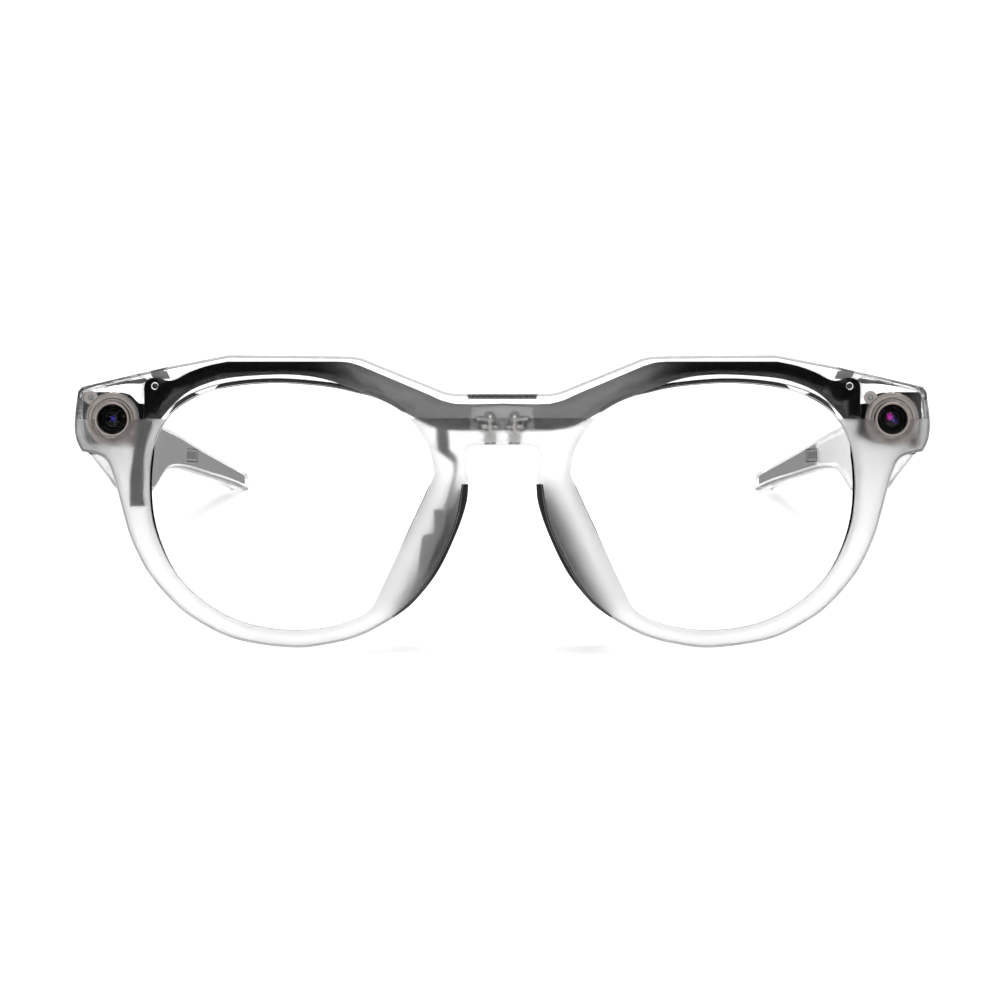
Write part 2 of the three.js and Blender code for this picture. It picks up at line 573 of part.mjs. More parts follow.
/** The capture button: a pill through the top of the shell, held by a wider foot. */
function captureButton() {
  const { from, to, low, high } = BUTTON;
  const pill = sidePlate([v(from, 17.6), v(to, 16.8), v(to, 14.1), v(from, 14.9)], low, high);
  const foot = sidePlate([v(43.2, 15.35), v(53.8, 14.4), v(53.8, 13.9), v(43.2, 14.85)], low - 0.25, high + 0.25);
  return onTemple(pill.add(foot));
}

/** The power slider: a ridged thumb piece with a foot behind the cover. */
function powerSlider() {
  const { from, to, low, high } = SLIDER;
  let thumb = box([-TEMPLE.width - 0.4, from, low], [-5.1, to, high]);
  for (let y = from + 0.7; y < to - 0.5; y += 0.7) {
    thumb = thumb.subtract(box([-9, y, low - 1], [-TEMPLE.width - 0.15, y + 0.25, high + 1]));
  }
  return onTemple(thumb.add(box([-5.35, from - 1, low - 0.7], [-4.95, to + 1, high + 0.7])));
}

// ---------------------------------------------------------------- assembly
const glasses = new THREE.Group();

/** Adds one piece. A piece for the wearer's right is the mirror image of the left one. */
function add(name, made, look, mirror = false) {
  const { vertProperties, triVerts } = made.getMesh();
  const geometry = new THREE.BufferGeometry();
  geometry.setAttribute('position', new THREE.BufferAttribute(vertProperties, 3));
  geometry.setIndex(new THREE.BufferAttribute(triVerts, 1));
  geometry.computeVertexNormals();
  const mesh = new THREE.Mesh(geometry, new THREE.MeshStandardMaterial(look));
  mesh.name = name;
  if (mirror) mesh.scale.x = -1;
  glasses.add(mesh);
}

add('front_shell', frontShell(), CLEAR);
add('rear_shell', rearShell(), CLEAR);
add('brow_carrier', browCarrier(), BLACK);
add('antenna_flex', antennaFlex(), FLEX);
add('sensor_flex', sensorFlex(), FLEX);
add('wear_sensor', wearSensor(), FLEX);
add('charging_plate', chargingPlate(), STEEL);
add('microphone_strip', microphoneStrip(), BLACK);

for (const [side, mirror] of [['left', false], ['right', true]]) {
  add(`lens_${side}`, lens(), LENS, mirror);
  add(`nose_pad_${side}`, nosePad(), SILICONE, mirror);
  add(`locating_pin_${side}`, locatingPin(), BLACK, mirror);
  add(`charging_contact_${side}`, chargingContact(), GOLD, mirror);
  add(`hinge_base_${side}`, hingeBase(), STEEL, mirror);
  add(`hinge_screw_${side}`, hingeScrew(), STEEL, mirror);
  add(`hinge_foot_screw_${side}`, footScrew(), STEEL, mirror);
  add(`hinge_knuckle_${side}`, hingeKnuckle(), STEEL, mirror);
  add(`temple_shell_${side}`, templeShell(mirror), CLEAR, mirror);
  add(`temple_cover_${side}`, templeCover(!mirror), CLEAR, mirror);
  add(`temple_core_${side}`, templeCore(), GREY, mirror);
  add(`temple_tip_core_${side}`, tipCore(), GREY, mirror);
  add(`speaker_${side}`, speaker(), BLACK, mirror);
  add(`speaker_grille_${side}`, speakerGrille(), BLACK, mirror);
}

for (const [unit, mirror, element] of [['camera', false, 1.6], ['light', true, 1.1]]) {
  const x = mirror ? -MODULE.x : MODULE.x;
  const [upper, lower] = lugs(x);
  add(`${unit}_bezel`, bezel(x), BRONZE);
  add(`${unit}_bezel_screw_upper`, bezelScrew(upper), STEEL);
  add(`${unit}_bezel_screw_lower`, bezelScrew(lower), STEEL);
  add(`${unit}_barrel`, barrel(), BRONZE, mirror);
  add(`${unit}_window`, moduleWindow(), DARK_GLASS, mirror);
  add(`${unit}_board`, moduleBoard(element), BLACK, mirror);
}

add('battery', battery(), FOIL);
add('power_slider', powerSlider(), GREY);
add('main_board', mainBoard(), BOARD, true);
add('touch_strip', touchStrip(), FLEX, true);
add('button_switch', buttonSwitch(), STEEL, true);
add('capture_button', captureButton(), GREY, true);

// The glasses lean back until the rims and the temple tips stand on one level, at z = 0.
const tip = v(151.2, 2.3);
const rimFoot = v(FRONT_DEPTH + sweepAt(RIM_BOTTOM.x), RIM_BOTTOM.z);
glasses.rotation.x = -Math.atan2(tip.y - rimFoot.y, tip.x - rimFoot.x);
const extent = new THREE.Box3().setFromObject(glasses, true);
const middle = extent.getCenter(new THREE.Vector3());
glasses.position.set(-middle.x, -middle.y, -extent.min.z);

export default glasses;
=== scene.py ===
import json
import math
import bmesh
import bpy
import numpy as np
from mathutils import Matrix, Vector
from mathutils.geometry import delaunay_2d_cdt


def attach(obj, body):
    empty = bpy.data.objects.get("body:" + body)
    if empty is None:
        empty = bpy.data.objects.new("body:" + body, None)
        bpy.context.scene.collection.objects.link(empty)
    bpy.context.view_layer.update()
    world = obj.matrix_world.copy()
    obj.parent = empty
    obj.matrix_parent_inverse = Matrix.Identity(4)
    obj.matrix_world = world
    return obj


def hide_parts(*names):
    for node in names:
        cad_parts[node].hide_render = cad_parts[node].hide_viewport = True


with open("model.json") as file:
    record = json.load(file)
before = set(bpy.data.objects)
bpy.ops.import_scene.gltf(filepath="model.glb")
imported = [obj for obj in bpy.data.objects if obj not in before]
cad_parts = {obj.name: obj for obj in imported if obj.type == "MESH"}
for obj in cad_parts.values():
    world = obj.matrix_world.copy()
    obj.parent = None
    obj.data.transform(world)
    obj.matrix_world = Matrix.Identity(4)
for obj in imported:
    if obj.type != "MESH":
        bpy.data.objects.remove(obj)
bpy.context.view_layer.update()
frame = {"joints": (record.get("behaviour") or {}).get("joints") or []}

# ---------------------------------------------------------------- front shell
# The visible half of the frame, injection moulded in clear nylon: polished above the finish line and
# satin below it. It is hollowed from behind for the carrier, the flexes, the lenses and the modules.
# It is drawn as outlines in layers, whose triangles are then curved back along the sweep.

# Every piece is drawn level, as the glasses are worn, in millimetres: x to the wearer's left, y from the
# front face back to the ears, z up from the datum line of the lenses. The glasses stand leant back on
# their rims and tips, so each finished mesh is turned to the fold axis of the temples.
FOLD = next(joint for joint in frame["joints"] if joint["name"] == "temple_left_fold")
HINGE = Vector((66.3, 19.2, 14))
UP = Vector(FOLD["axis"]).normalized()
BACK = Vector((0, UP.z, -UP.y))
AXES = Matrix(((1, 0, 0), (0, BACK.y, UP.y), (0, BACK.z, UP.z)))
LEANT = (AXES * 0.001).to_4x4()
LEANT.translation = Vector(FOLD["pos_m"]) - AXES @ HINGE * 0.001


def trace(start, *runs, step=0.8):
    """An outline: each run goes on from the last point, straight to one point or smoothly through more."""
    outline = [Vector(start)]
    for run in runs:
        knots = [outline[-1], *map(Vector, run)]
        for i in range(1, len(knots)):
            a, b = knots[i - 1], knots[i]
            before, after = knots[max(i - 2, 0)], knots[min(i + 1, len(knots) - 1)]
            count = max(1, math.ceil((b - a).length / step))
            for t in (k / count for k in range(1, count + 1)):
                if len(knots) == 2:
                    outline.append(a.lerp(b, t))
                    continue
                u, w = (b - before) / 2, (after - a) / 2
                outline.append((2 * t**3 - 3 * t**2 + 1) * a + (t**3 - 2 * t**2 + t) * u
                               + (3 * t**2 - 2 * t**3) * b + (t**3 - t**2) * w)
    return [tuple(p) for p in outline]


def straight(corners, step=0.8):
    """A closed outline with straight sides."""
    return trace(corners[0], *[[p] for p in corners[1:]], [corners[0]], step=step)[:-1]


def loop_through(knots, step=0.8):
    """A closed smooth outline."""
    wide = knots[-2:] + knots + knots[:2]
    whole = trace(wide[0], wide[1:], step=step)
    first = min(range(len(whole)), key=lambda i: math.dist(whole[i], knots[0]) + 1e3 * (i > len(whole) / 2))
    last = min(range(len(whole)), key=lambda i: math.dist(whole[i], knots[0]) + 1e3 * (i < len(whole) / 2))
    return whole[first:last]


def mirrored(outline):
    """The outline on the other side of the nose."""
    return [(-x, z) for x, z in reversed(outline)]


def closed(half):
    """A half outline and its mirror image, without doubled points."""
    whole = half + mirrored(half)
    return [p for i, p in enumerate(whole) if math.dist(p, whole[i - 1]) > 1e-3]


def grown(outline, distance):
    """The outline moved outwards by distance, or inwards if it is negative."""
    points = np.array(outline)
    ahead = np.roll(points, -1, axis=0) - points
    if (ahead[:, 0] * (points[:, 1] + np.roll(points[:, 1], -1))).sum() < 0:
        distance = -distance
    normal = np.stack([-ahead[:, 1], ahead[:, 0]], axis=1) / np.linalg.norm(ahead, axis=1)[:, None]
    joined = normal + np.roll(normal, 1, axis=0)
    joined /= np.maximum((joined**2).sum(axis=1, keepdims=True) / 2, 0.6)
    return [tuple(p) for p in points + joined * distance]


def circle(x, z, radius, sides=48):
    turns = [2 * math.pi * i / sides for i in range(sides)]
    return [(x + radius * math.cos(t), z + radius * math.sin(t)) for t in turns]


def rectangle(x0, z0, x1, z1):
    return [(x0, z0), (x1, z0), (x1, z1), (x0, z1)]


def inside(points, outline):
    """Which of the points lie inside the outline."""
    a = np.array(outline)
    b = np.roll(a, -1, axis=0)
    x, z = points[:, :1], points[:, 1:]
    rise = np.where(a[:, 1] == b[:, 1], 1, b[:, 1] - a[:, 1])
    crossed = ((a[:, 1] > z) != (b[:, 1] > z)) & (x < (b[:, 0] - a[:, 0]) * (z - a[:, 1]) / rise + a[:, 0])
    return crossed.sum(axis=1) % 2 == 1


def away(points, outlines):
    """How far each point is from the nearest of the outlines."""
    nearest = np.full(len(points), 1e9)
    for outline in outlines:
        a = np.array(outline)
        along = np.roll(a, -1, axis=0) - a
        for k in range(0, len(points), 2000):
            off = points[k:k + 2000, None] - a
            share = np.clip((off * along).sum(axis=2) / (along**2).sum(axis=1), 0, 1)
            reach = np.linalg.norm(off - share[..., None] * along, axis=2).min(axis=1)
            nearest[k:k + 2000] = np.minimum(nearest[k:k + 2000], reach)
    return nearest


def rounded(width, depth, steps=5):
    """A rounded edge, as how far in from the outline and how deep each step is."""
    turns = [math.pi / 2 * i / steps for i in range(steps + 1)]
    return [(width * (1 - math.cos(t)), depth * (1 - math.sin(t))) for t in turns]


def eased(depth, outlines, section, sign=1):
    """A face at a depth whose edges along the outlines fall away as the section says."""
    return lambda p: depth + sign * np.interp(away(p, outlines), *zip(*section))


def rings(outlines, section):
    """The outlines repeated where the section of their rounded edge has its steps."""
    middle = [(outline, np.array(outline).mean(axis=0)) for outline in outlines]
    return [grown(outline, way * inset) for outline, _ in middle for inset, _ in section[1:] for way in (-1, 1)]


def layered(layers, levels, place, lines=(), pitch=2.5):
    """A solid in layers. A layer is (its outlines, the outlines cut out of it), between two levels."""
    outlines = list({id(o): o for solid, cut in layers for o in [*solid, *cut]}.values())
    points, edges = [], []
    for outline in outlines + list(lines):
        first = len(points)
        points += outline
        edges += [(first + i, first + (i + 1) % len(outline)) for i in range(len(outline))]
    taken = np.array(points)
    reach = np.array([p for solid, _ in layers for o in solid for p in o])
    rows = [np.arange(a + pitch / 3, b, pitch) for a, b in zip(reach.min(axis=0), reach.max(axis=0))]
    mesh = np.stack(np.meshgrid(*rows), axis=-1).reshape(-1, 2)
    if len(mesh):
        spare = np.concatenate([
            np.linalg.norm(mesh[k:k + 500, None] - taken, axis=2).min(axis=1) for k in range(0, len(mesh), 500)])
        points += [tuple(p) for p in mesh[spare > pitch * 0.35]]
    found = delaunay_2d_cdt([Vector(p) for p in points], edges, [], 0, 1e-4)
    flat = np.array([tuple(p) for p in found[0]])
    triangles = found[2]
    middles = flat[np.array(triangles)].mean(axis=1)
    held = [np.any([inside(middles, o) for o in solid], axis=0)
            & ~np.any([np.zeros(len(middles), bool), *(inside(middles, o) for o in cut)], axis=0)
            for solid, cut in layers]
    depths = [np.broadcast_to(level(flat) if callable(level) else level, len(flat)) for level in levels]
    beside = {}
    for t, corners in enumerate(triangles):
        for k in range(3):
            beside.setdefault(frozenset((corners[k], corners[(k + 1) % 3])), []).append(t)
    corners_made, faces, numbers = [], [], {}

    def corner(i, level):
        if (i, level) not in numbers:
            numbers[i, level] = len(corners_made)
            corners_made.append(place(*flat[i], depths[level][i]))
        return numbers[i, level]

    for t, corners in enumerate(triangles):
        filled = [False, *(bool(layer[t]) for layer in held), False]
        for level in range(len(levels)):
            if filled[level] != filled[level + 1]:
                face = [corner(i, level) for i in corners]
                faces.append(face if filled[level + 1] else face[::-1])
        for k in range(3):
            a, b = corners[k], corners[(k + 1) % 3]
            others = [o for o in beside[frozenset((a, b))] if o != t]
            for layer, holds in enumerate(held):
                if holds[t] and not (others and holds[others[0]]):
                    faces.append([corner(b, layer), corner(a, layer), corner(a, layer + 1), corner(b, layer + 1)])
    return corners_made, faces


def slab(outline, cut, low, high, edge, place, pitch=1):
    """A flat solid with softened edges, between two levels."""
    section = rounded(edge, edge, 2)
    return layered([([outline], cut)], [eased(low, [outline], section), eased(high, [outline], section, -1)],
                   place, rings([outline], section), pitch)


def piece(name, shapes, looks, body, slot, *nodes, mirror=False, sharp=32):
    """Makes one piece from its shapes, smooth but for its real edges, and fits it to its body."""
    built = bmesh.new()
    for number, (corners, faces) in enumerate(shapes):
        made = [built.verts.new(p) for p in corners]
        for face in faces:
            if len(set(face)) > 2:
                built.faces.new([made[i] for i in face]).material_index = min(number, len(looks) - 1)
    bmesh.ops.remove_doubles(built, verts=built.verts, dist=2e-4)
    bmesh.ops.dissolve_degenerate(built, edges=built.edges, dist=1e-5)
    if mirror:
        bmesh.ops.scale(built, verts=built.verts, vec=(-1, 1, 1))
    bmesh.ops.recalc_face_normals(built, faces=built.faces)
    for face in built.faces:
        face.smooth = True
    for edge in built.edges:
        edge.smooth = edge.calc_face_angle(0) < math.radians(sharp)
    mesh = bpy.data.meshes.new(name)
    built.to_mesh(mesh)
    built.free()
    mesh.transform(LEANT)
    for look in looks:
        mesh.materials.append(look)
    made = bpy.data.objects.new(name, mesh)
    bpy.context.scene.collection.objects.link(made)
    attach(made, body)
    if nodes:
        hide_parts(*nodes)
    return made


def middles_of(made):
    """The middle of each face of a piece, as it is drawn."""
    return np.array([tuple(LEANT.inverted() @ face.center) for face in made.data.polygons])


def recoated(made, chosen, look):
    """Gives the chosen faces of a piece another of its looks, by its number."""
    for face, taken in zip(made.data.polygons, chosen):
        if taken:
            face.material_index = look


class Value:
    """A shader socket that is added to and multiplied like a number."""

    def __init__(self, shader, socket):
        self.shader, self.socket = shader, socket

    def worked(self, operation, first, second=0.0):
        return self.shader.node("ShaderNodeMath", {"operation": operation}, {0: first, 1: second})

    def __add__(self, other):
        return self.worked("ADD", self, other)

    def __sub__(self, other):
        return self.worked("SUBTRACT", self, other)

    def __rsub__(self, other):
        return self.worked("SUBTRACT", other, self)

    def __mul__(self, other):
        return self.worked("MULTIPLY", self, other)

    def __abs__(self):
        return self.worked("ABSOLUTE", self)

    __radd__, __rmul__ = __add__, __mul__


class Shader:
    """The nodes of one finish, or of the studio's light."""

    def __init__(self, owner):
        owner.use_nodes = True
        self.owner, self.tree = owner, owner.node_tree
        self.tree.nodes.clear()

    def node(self, kind, settings, sockets, output=0):
        made = self.tree.nodes.new(kind)
        for name, value in settings.items():
            if name == "stops":
                while len(made.color_ramp.elements) < len(value):
                    made.color_ramp.elements.new(1)
                for element, (position, colour) in zip(made.color_ramp.elements, value):
                    element.position, element.color = position, colour
            else:
                setattr(made, name, value)
        for name, value in sockets.items():
            if isinstance(value, Value):
                self.tree.links.new(value.socket, made.inputs[name])
            else:
                made.inputs[name].default_value = value
        return Value(self, made.outputs[output]) if made.outputs else made

    def spot(self):
        """Where the shaded point is on the object, in metres."""
        return self.node("ShaderNodeTexCoord", {}, {}, "Object")

    def drawn(self, axis):
        """The drawing's coordinate of the shaded point, in millimetres: 0 is x, 1 is y, 2 is z."""
        across = AXES.col[axis]
        dot = self.node("ShaderNodeVectorMath", {"operation": "DOT_PRODUCT"}, {0: self.spot(), 1: across}, "Value")
        return (dot - LEANT.translation.dot(across)) * 1000

    def speckle(self, size, detail=2.0, stretch=(1, 1, 1)):
        """Noise with grains of a size in millimetres."""
        spot = self.node("ShaderNodeMapping", {}, {"Vector": self.spot(), "Scale": stretch})
        return self.node("ShaderNodeTexNoise", {}, {"Vector": spot, "Scale": 1000 / size, "Detail": detail})

    def ramp(self, value, low, high, start=0.0, end=1.0, smooth=True):
        """Goes from start to end as value goes from low to high."""
        return self.node("ShaderNodeMapRange", {"interpolation_type": "SMOOTHSTEP" if smooth else "LINEAR"},
                         {0: value, 1: low, 2: high, 3: start, 4: end})

    def blend(self, factor, first, second):
        return self.node("ShaderNodeMix", {"data_type": "RGBA"}, {0: factor, 6: first, 7: second}, 2)

    def bump(self, height, depth):
        """A relief that is depth millimetres deep."""
        return self.node("ShaderNodeBump", {}, {"Strength": 1.0, "Distance": depth / 1000, "Height": height})

    def surface(self, **sockets):
        named = {name.replace("_", " "): value for name, value in sockets.items()}
        shaded = self.node("ShaderNodeBsdfPrincipled", {}, named)
        self.node("ShaderNodeOutputMaterial", {}, {"Surface": shaded})
        return self.owner


def new_look(name):
    return Shader(bpy.data.materials.new(name))


def grey(level, tint=(1, 1, 1)):
    return (*(level * part for part in tint), 1)


def grained(name, size, detail, dark, light, roughness, spread=0, relief=0, **sockets):
    """A finish with a grain, which shifts its colour and, where they are given, its roughness and its relief."""
    look = new_look(name)
    grain = look.speckle(size, detail)
    if spread:
        roughness = roughness + grain * spread
    if relief:
        sockets["Normal"] = look.bump(grain, relief)
    return look.surface(Base_Color=look.blend(grain, dark, light), Roughness=roughness, **sockets)


FINISH_LINE = 14.2


def clear_nylon(name, satin, grazing_painted_shade):
    """Clear nylon, whose grazing surfaces are painted grey: painted shade that stands in for the dark of the room
    they gather.

    Satin is its roughness below the finish line. There its colour is painted darker towards the top and the outer
    ends: painted shade for the internals seen through it.
    """
    look = new_look(name)
    facing = look.node("ShaderNodeLayerWeight", {}, {"Blend": 0.5}, "Facing")
    height = look.drawn(2)
    lower = look.ramp(height, FINISH_LINE - 0.12, FINISH_LINE + 0.12, 1.0, 0.0) * min(satin * 10, 1)
    flow = look.speckle(9, 1.5)
    # Below the finish line the satin is painted darker towards the top and the outer ends: painted shade for the
    # internals behind it.
    satin_with_painted_shade = look.blend(look.ramp(height, -20, 12) * look.ramp(abs(look.drawn(0)), 25, 66), grey(0.985), grey(0.89))
    colour = look.blend(lower, (0.985, 0.99, 0.99, 1), satin_with_painted_shade)
    # Grazing surfaces are painted grey: painted shade in place of the dark of the room seen in them.
    colour = look.blend(look.ramp(facing, 0.5, 0.95), colour, grey(grazing_painted_shade))
    grain = look.speckle(0.16, 1.0)
    relief = look.bump(flow * 0.35 + grain * lower * 0.04, 0.02)
    return look.surface(Base_Color=colour, Roughness=0.015 + lower * satin + flow * 0.01, IOR=1.42,
                        Transmission_Weight=1.0, Normal=relief)


SWEEP = 8.5


def sweep(x):
    """How far back the front face lies at x."""
    return SWEEP * math.sin(math.radians(x)) ** 2


def swept(x, z, depth):
    return x, depth + sweep(x), z


def outlined(made, outlines, width, across=0):
    """Gives the softened edges along the outlines, but not the walls, the piece's second look, which paints shade
    along them.
    """
    reach = away(middles_of(made)[:, [across, 2]], outlines)
    recoated(made, (reach > 0.004) & (reach < width), 1)


def painted_edge_shade(name, level):
    """Clear nylon seen along its length at a polished edge, tinted dark: painted shade for the dark line its
    refraction gives, painted lighter near the bottom of the bridge.
    """
    look = new_look(name)
    bridge = look.ramp(abs(look.drawn(0)), 12, 20, 1.0, 0.0) * look.ramp(look.drawn(2), 11, 13, 1.0, 0.0)
    haze = look.speckle(5, 1.5)
    colour = look.blend(bridge, grey(level), grey(0.88))
    colour = look.blend(haze * 0.25, colour, grey(level * 1.3))
    return look.surface(Base_Color=colour, Roughness=0.03 + haze * 0.02, IOR=1.42, Transmission_Weight=1.0,
                        Normal=look.bump(haze, 0.006))


RIM = closed(trace(
    (0, 18.4), [(7.2, 18.4)], [(9.6, 18.7), (12, 19.6)], [(22.8, 24)], [(24.6, 24.7), (26.8, 24.95)],
    [(47.4, 25.3)], [(58.5, 23.3)], [(73.5, 19.9)], [(74.2, 19.1)], [(74.8, 13.9), (74.5, 10.7), (73.5, 8.6)],
    [(69.8, 7.6), (68.1, 4.7), (66.3, -1.8), (64.8, -6.7), (61.9, -12.4), (57.6, -17.5), (53.4, -20.8),
     (46.4, -24.1), (36.6, -25.5), (29.8, -24.8), (24.1, -23.2), (18.8, -20.3)],
    [(14.2, -15.9), (10.3, -9.4), (7.8, -3.4), (6.75, 2.7)], [(5.75, 3.3)], [(6.25, 6.5), (6.4, 8.4)],
    [(6.1, 9.1), (5.5, 9.45), (4.4, 9.6)], [(0, 9.65)]))
EYE = loop_through([
    (39.5, 20.5), (47.9, 19.8), (54.2, 17.8), (58.5, 14.4), (60.9, 9.4), (61.6, 2.1), (60.6, -5.2), (56.9, -12.8),
    (51.1, -18.2), (44.3, -21.4), (36.4, -22.5), (29, -21.7), (23.3, -19.2), (20.9, -15.2), (17.3, -7.6),
    (12.3, 3.2), (11.9, 5.6), (13, 9.8), (16.4, 14.5), (20.7, 17.3), (25.9, 18.9), (31.1, 19.9)])
EYES = [EYE, mirrored(EYE)]
LENS_BITE, CLEARANCE = 0.8, 0.15
GROOVES = [grown(eye, LENS_BITE + CLEARANCE) for eye in EYES]
BAND = closed(trace(
    (0, 16.75), [(5.6, 16.65)], [(8.2, 16.75)], [(10.4, 17.3), (12.6, 18.3)], [(24.4, 23.3)],
    [(26.4, 23.9), (28.4, 24.1)], [(47.8, 24.2)],
    [(51.3, 23.5), (54.5, 22.4), (56.6, 21.3), (58.2, 20.9), (59.8, 21.4)],
    [(61.3, 21.4), (62.4, 20.4), (62.5, 18.9)], [(62.4, 14.2)], [(59.6, 14.2)],
    [(57.5, 16.6), (54.8, 18.9), (51.4, 20.4), (47.7, 21.3), (41.4, 21.8), (36, 21.8), (31.1, 21.1), (25.9, 19.4),
     (20.7, 17.4), (16.2, 14.9), (14.3, 13.8)], [(11.6, 12.6), (8.2, 12.1)], [(0, 12.05)]))
ANTENNA = [(-63.5, 13.9), (-63.9, 11), (-64.4, 8), (-65, 4.2), (-65, -1), (-62.4, -1), (-62.7, 1.6), (-62.5, 3.9),
           (-62.6, 7), (-62.3, 9), (-61.7, 11.2), (-61.1, 12.7), (-60.9, 13.9)]
FLEX = [(-11.5, 13.4), (-11.2, 8.7), (-9.6, 7.4), (-8.35, 6.5), (-8.25, 5), (-8.85, 2.6), (-10.0, -1.3), (-9.6, -1.3),
        (-8.45, 2.5), (-7.9, 5), (-7.75, 6.6), (-8.1, 7.9), (-9.1, 8.7), (-9.4, 13.4)]
SENSOR = [(-9.6, -1.6), (-11.8, -1.6), (-11.8, -5.6), (-13.8, -6.2), (-14.6, -11.9), (-13, -11.9), (-11.3, -7.5),
          (-10.2, -5.6)]
CONTACT_X, PIN_AT, MODULE_X, MODULE_Z = 2.1, (60.6, 20), 68.1, 14.2
LUG_OFF, SEAT_R, LUG_SEAT_R, BARREL_HOLE_R = 3.8, 4.85, 1.35, 3.2
MODULES = [(side * MODULE_X, MODULE_Z) for side in (1, -1)]
LUGS = [(x + way * LUG_OFF, MODULE_Z - way * LUG_OFF) for x, _ in MODULES for way in (1, -1)]
BARREL_HOLES = [circle(x, z, BARREL_HOLE_R) for x, z in MODULES]
BEZEL_SEATS = [circle(x, z, SEAT_R, 64) for x, z in MODULES] + [circle(x, z, LUG_SEAT_R, 24) for x, z in LUGS]
CONTACT_ROOMS = [rectangle(side * CONTACT_X - 1.15, 5, side * CONTACT_X + 1.15, 12.2) for side in (1, -1)]
STRIP_ROOM = rectangle(-6.1, 17.4, 6.1, 22)
PIN_HOLES = [circle(side * PIN_AT[0], PIN_AT[1], 0.65, 16) for side in (1, -1)]
RIB = trace((73, 20), [(69.6, 20.5), (66, 20.5), (64.2, 19.9), (63.1, 18.6)], [(62.95, 17.6)], [(63.5, 17.5)],
            [(63.9, 18.3), (65, 19.2), (67, 19.7), (70, 19.6), (73, 19.3)], [(73, 20)], step=0.5)[:-1]


def within_modules(p):
    """Which of the points lie in the seat of a bezel or of one of its lugs."""
    return np.any([np.hypot(p[:, 0] - x, p[:, 1] - z) < radius + 0.02
                   for spots, radius in ((MODULES, SEAT_R), (LUGS, LUG_SEAT_R)) for x, z in spots], axis=0)


def pocket_floor(p):
    """How deep the pockets in the front shell begin: thinner walls where the barrels come through."""
    return np.where(within_modules(p) & (np.abs(p[:, 0]) > 65.5), 0.45, 0.75)


def bezel_floor(p):
    """The flat bottom of each bezel's seat, level in spite of the sweep."""
    return np.where(within_modules(p), 8.4 - SWEEP * np.sin(np.radians(p[:, 0])) ** 2, 1.0)


OUTER_EDGE = rounded(0.7, 0.62)
EYE_EDGE = rounded(0.08, 0.12, 3)
front_face = eased(0, EYES, EYE_EDGE)
rim_face = eased(0, [RIM], OUTER_EDGE)
CARRIER_BACK, GROOVE_FACE, SEAM = 1.7, 1.85, 2.4
carved = EYES + BARREL_HOLES
behind = carved + [grown(o, CLEARANCE) for o in (BAND, ANTENNA, SENSOR)] + CONTACT_ROOMS + PIN_HOLES
seated = behind + [STRIP_ROOM, *BEZEL_SEATS]
channelled = seated + [grown(FLEX, CLEARANCE), RIB, mirrored(RIB)]
# The grey on grazing surfaces and the dark tint of the rounded rim edge are painted shade.
clear_front, front_edge_painted_shade = clear_nylon("clear_front", 0.75, 0.35), painted_edge_shade("front_edge_painted_shade", 0.2)
front_shell = piece("front_shell_clear", [layered(
    [([RIM], cut) for cut in (carved, behind, seated, channelled, channelled + GROOVES)],
    [lambda p: np.maximum(front_face(p), rim_face(p)), pocket_floor, bezel_floor, CARRIER_BACK, GROOVE_FACE, SEAM],
    swept, rings([RIM], OUTER_EDGE) + rings(EYES, EYE_EDGE))],
    [clear_front, front_edge_painted_shade], "front", "clear_frame", "front_shell")
outlined(front_shell, [RIM], 0.45)

# ---------------------------------------------------------------- rear shell
# The half that faces the wearer, bonded to the front one round its edge. Its two endpieces are moulded
# on behind the modules, with a round hole for the barrel and an open channel for the hinge.
ENDPIECE = trace((63, 10.6), [(65.6, 8.9)], [(73.1, 8.9)], [(73.75, 9.4), (74, 10.7), (74.3, 13.9), (73.8, 19)],
                 [(73.2, 19.6)], [(63, 21.7)])
ENDPIECES = [ENDPIECE, mirrored(ENDPIECE)]
CHANNELS = [rectangle(60, 10.2, 68.6, 18.1), rectangle(-68.6, 10.2, -60, 18.1)]
BOARD_ROOMS = [rectangle(x - 3.5, MODULE_Z - 3.4, x + 3.5, MODULE_Z + 3.4) for x, _ in MODULES]
FOOT_HOLES = [circle(side * 62.5, 14, 0.6, 16) for side in (1, -1)]
REAR_EDGE, ENDPIECE_EDGE = rounded(0.8, 0.7), rounded(0.5, 0.5, 4)
rear_face = eased(5, [RIM, *EYES], REAR_EDGE, -1)


def at_depth(depth):
    """A level that stands at one depth in spite of the sweep."""
    return lambda p: np.maximum(depth - SWEEP * np.sin(np.radians(p[:, 0])) ** 2, rear_face(p))


endpiece_back = eased(0, ENDPIECES, ENDPIECE_EDGE)
sunk = GROOVES + BARREL_HOLES + [STRIP_ROOM, *CONTACT_ROOMS, *PIN_HOLES]
passed = BARREL_HOLES + CHANNELS
rear_shell = piece("rear_shell_clear", [layered(
    [([RIM], sunk), ([RIM], carved), (ENDPIECES, BARREL_HOLES), (ENDPIECES, passed + FOOT_HOLES),
     (ENDPIECES, passed + BOARD_ROOMS), (ENDPIECES, passed), (ENDPIECES, CHANNELS)],
    [2.7, 3.88, rear_face, *map(at_depth, (12.4, 13.4, 15.2, 16.2)), lambda p: at_depth(18.9)(p) - endpiece_back(p)],
    swept, rings([RIM, *EYES], REAR_EDGE) + rings(ENDPIECES, ENDPIECE_EDGE))],
    [clear_front], "front", "clear_frame", "rear_shell")

# ---------------------------------------------------------------- lenses
# Clear plano lenses, held all round in a groove between the two shells. Their hidden border is inked
# black along the brow, so the edge of the carrier doesn't show twice.
# Past the groove at the outer side and the nose the black border shows as a thin line: painted shade for the dark
# that refraction gives at the lens edge.
lens_clear = grained("lens_clear", 30, 2, (0.995, 1, 1, 1), (1, 0.998, 0.995, 1), 0.0, IOR=1.3,
                     Transmission_Weight=1.0)
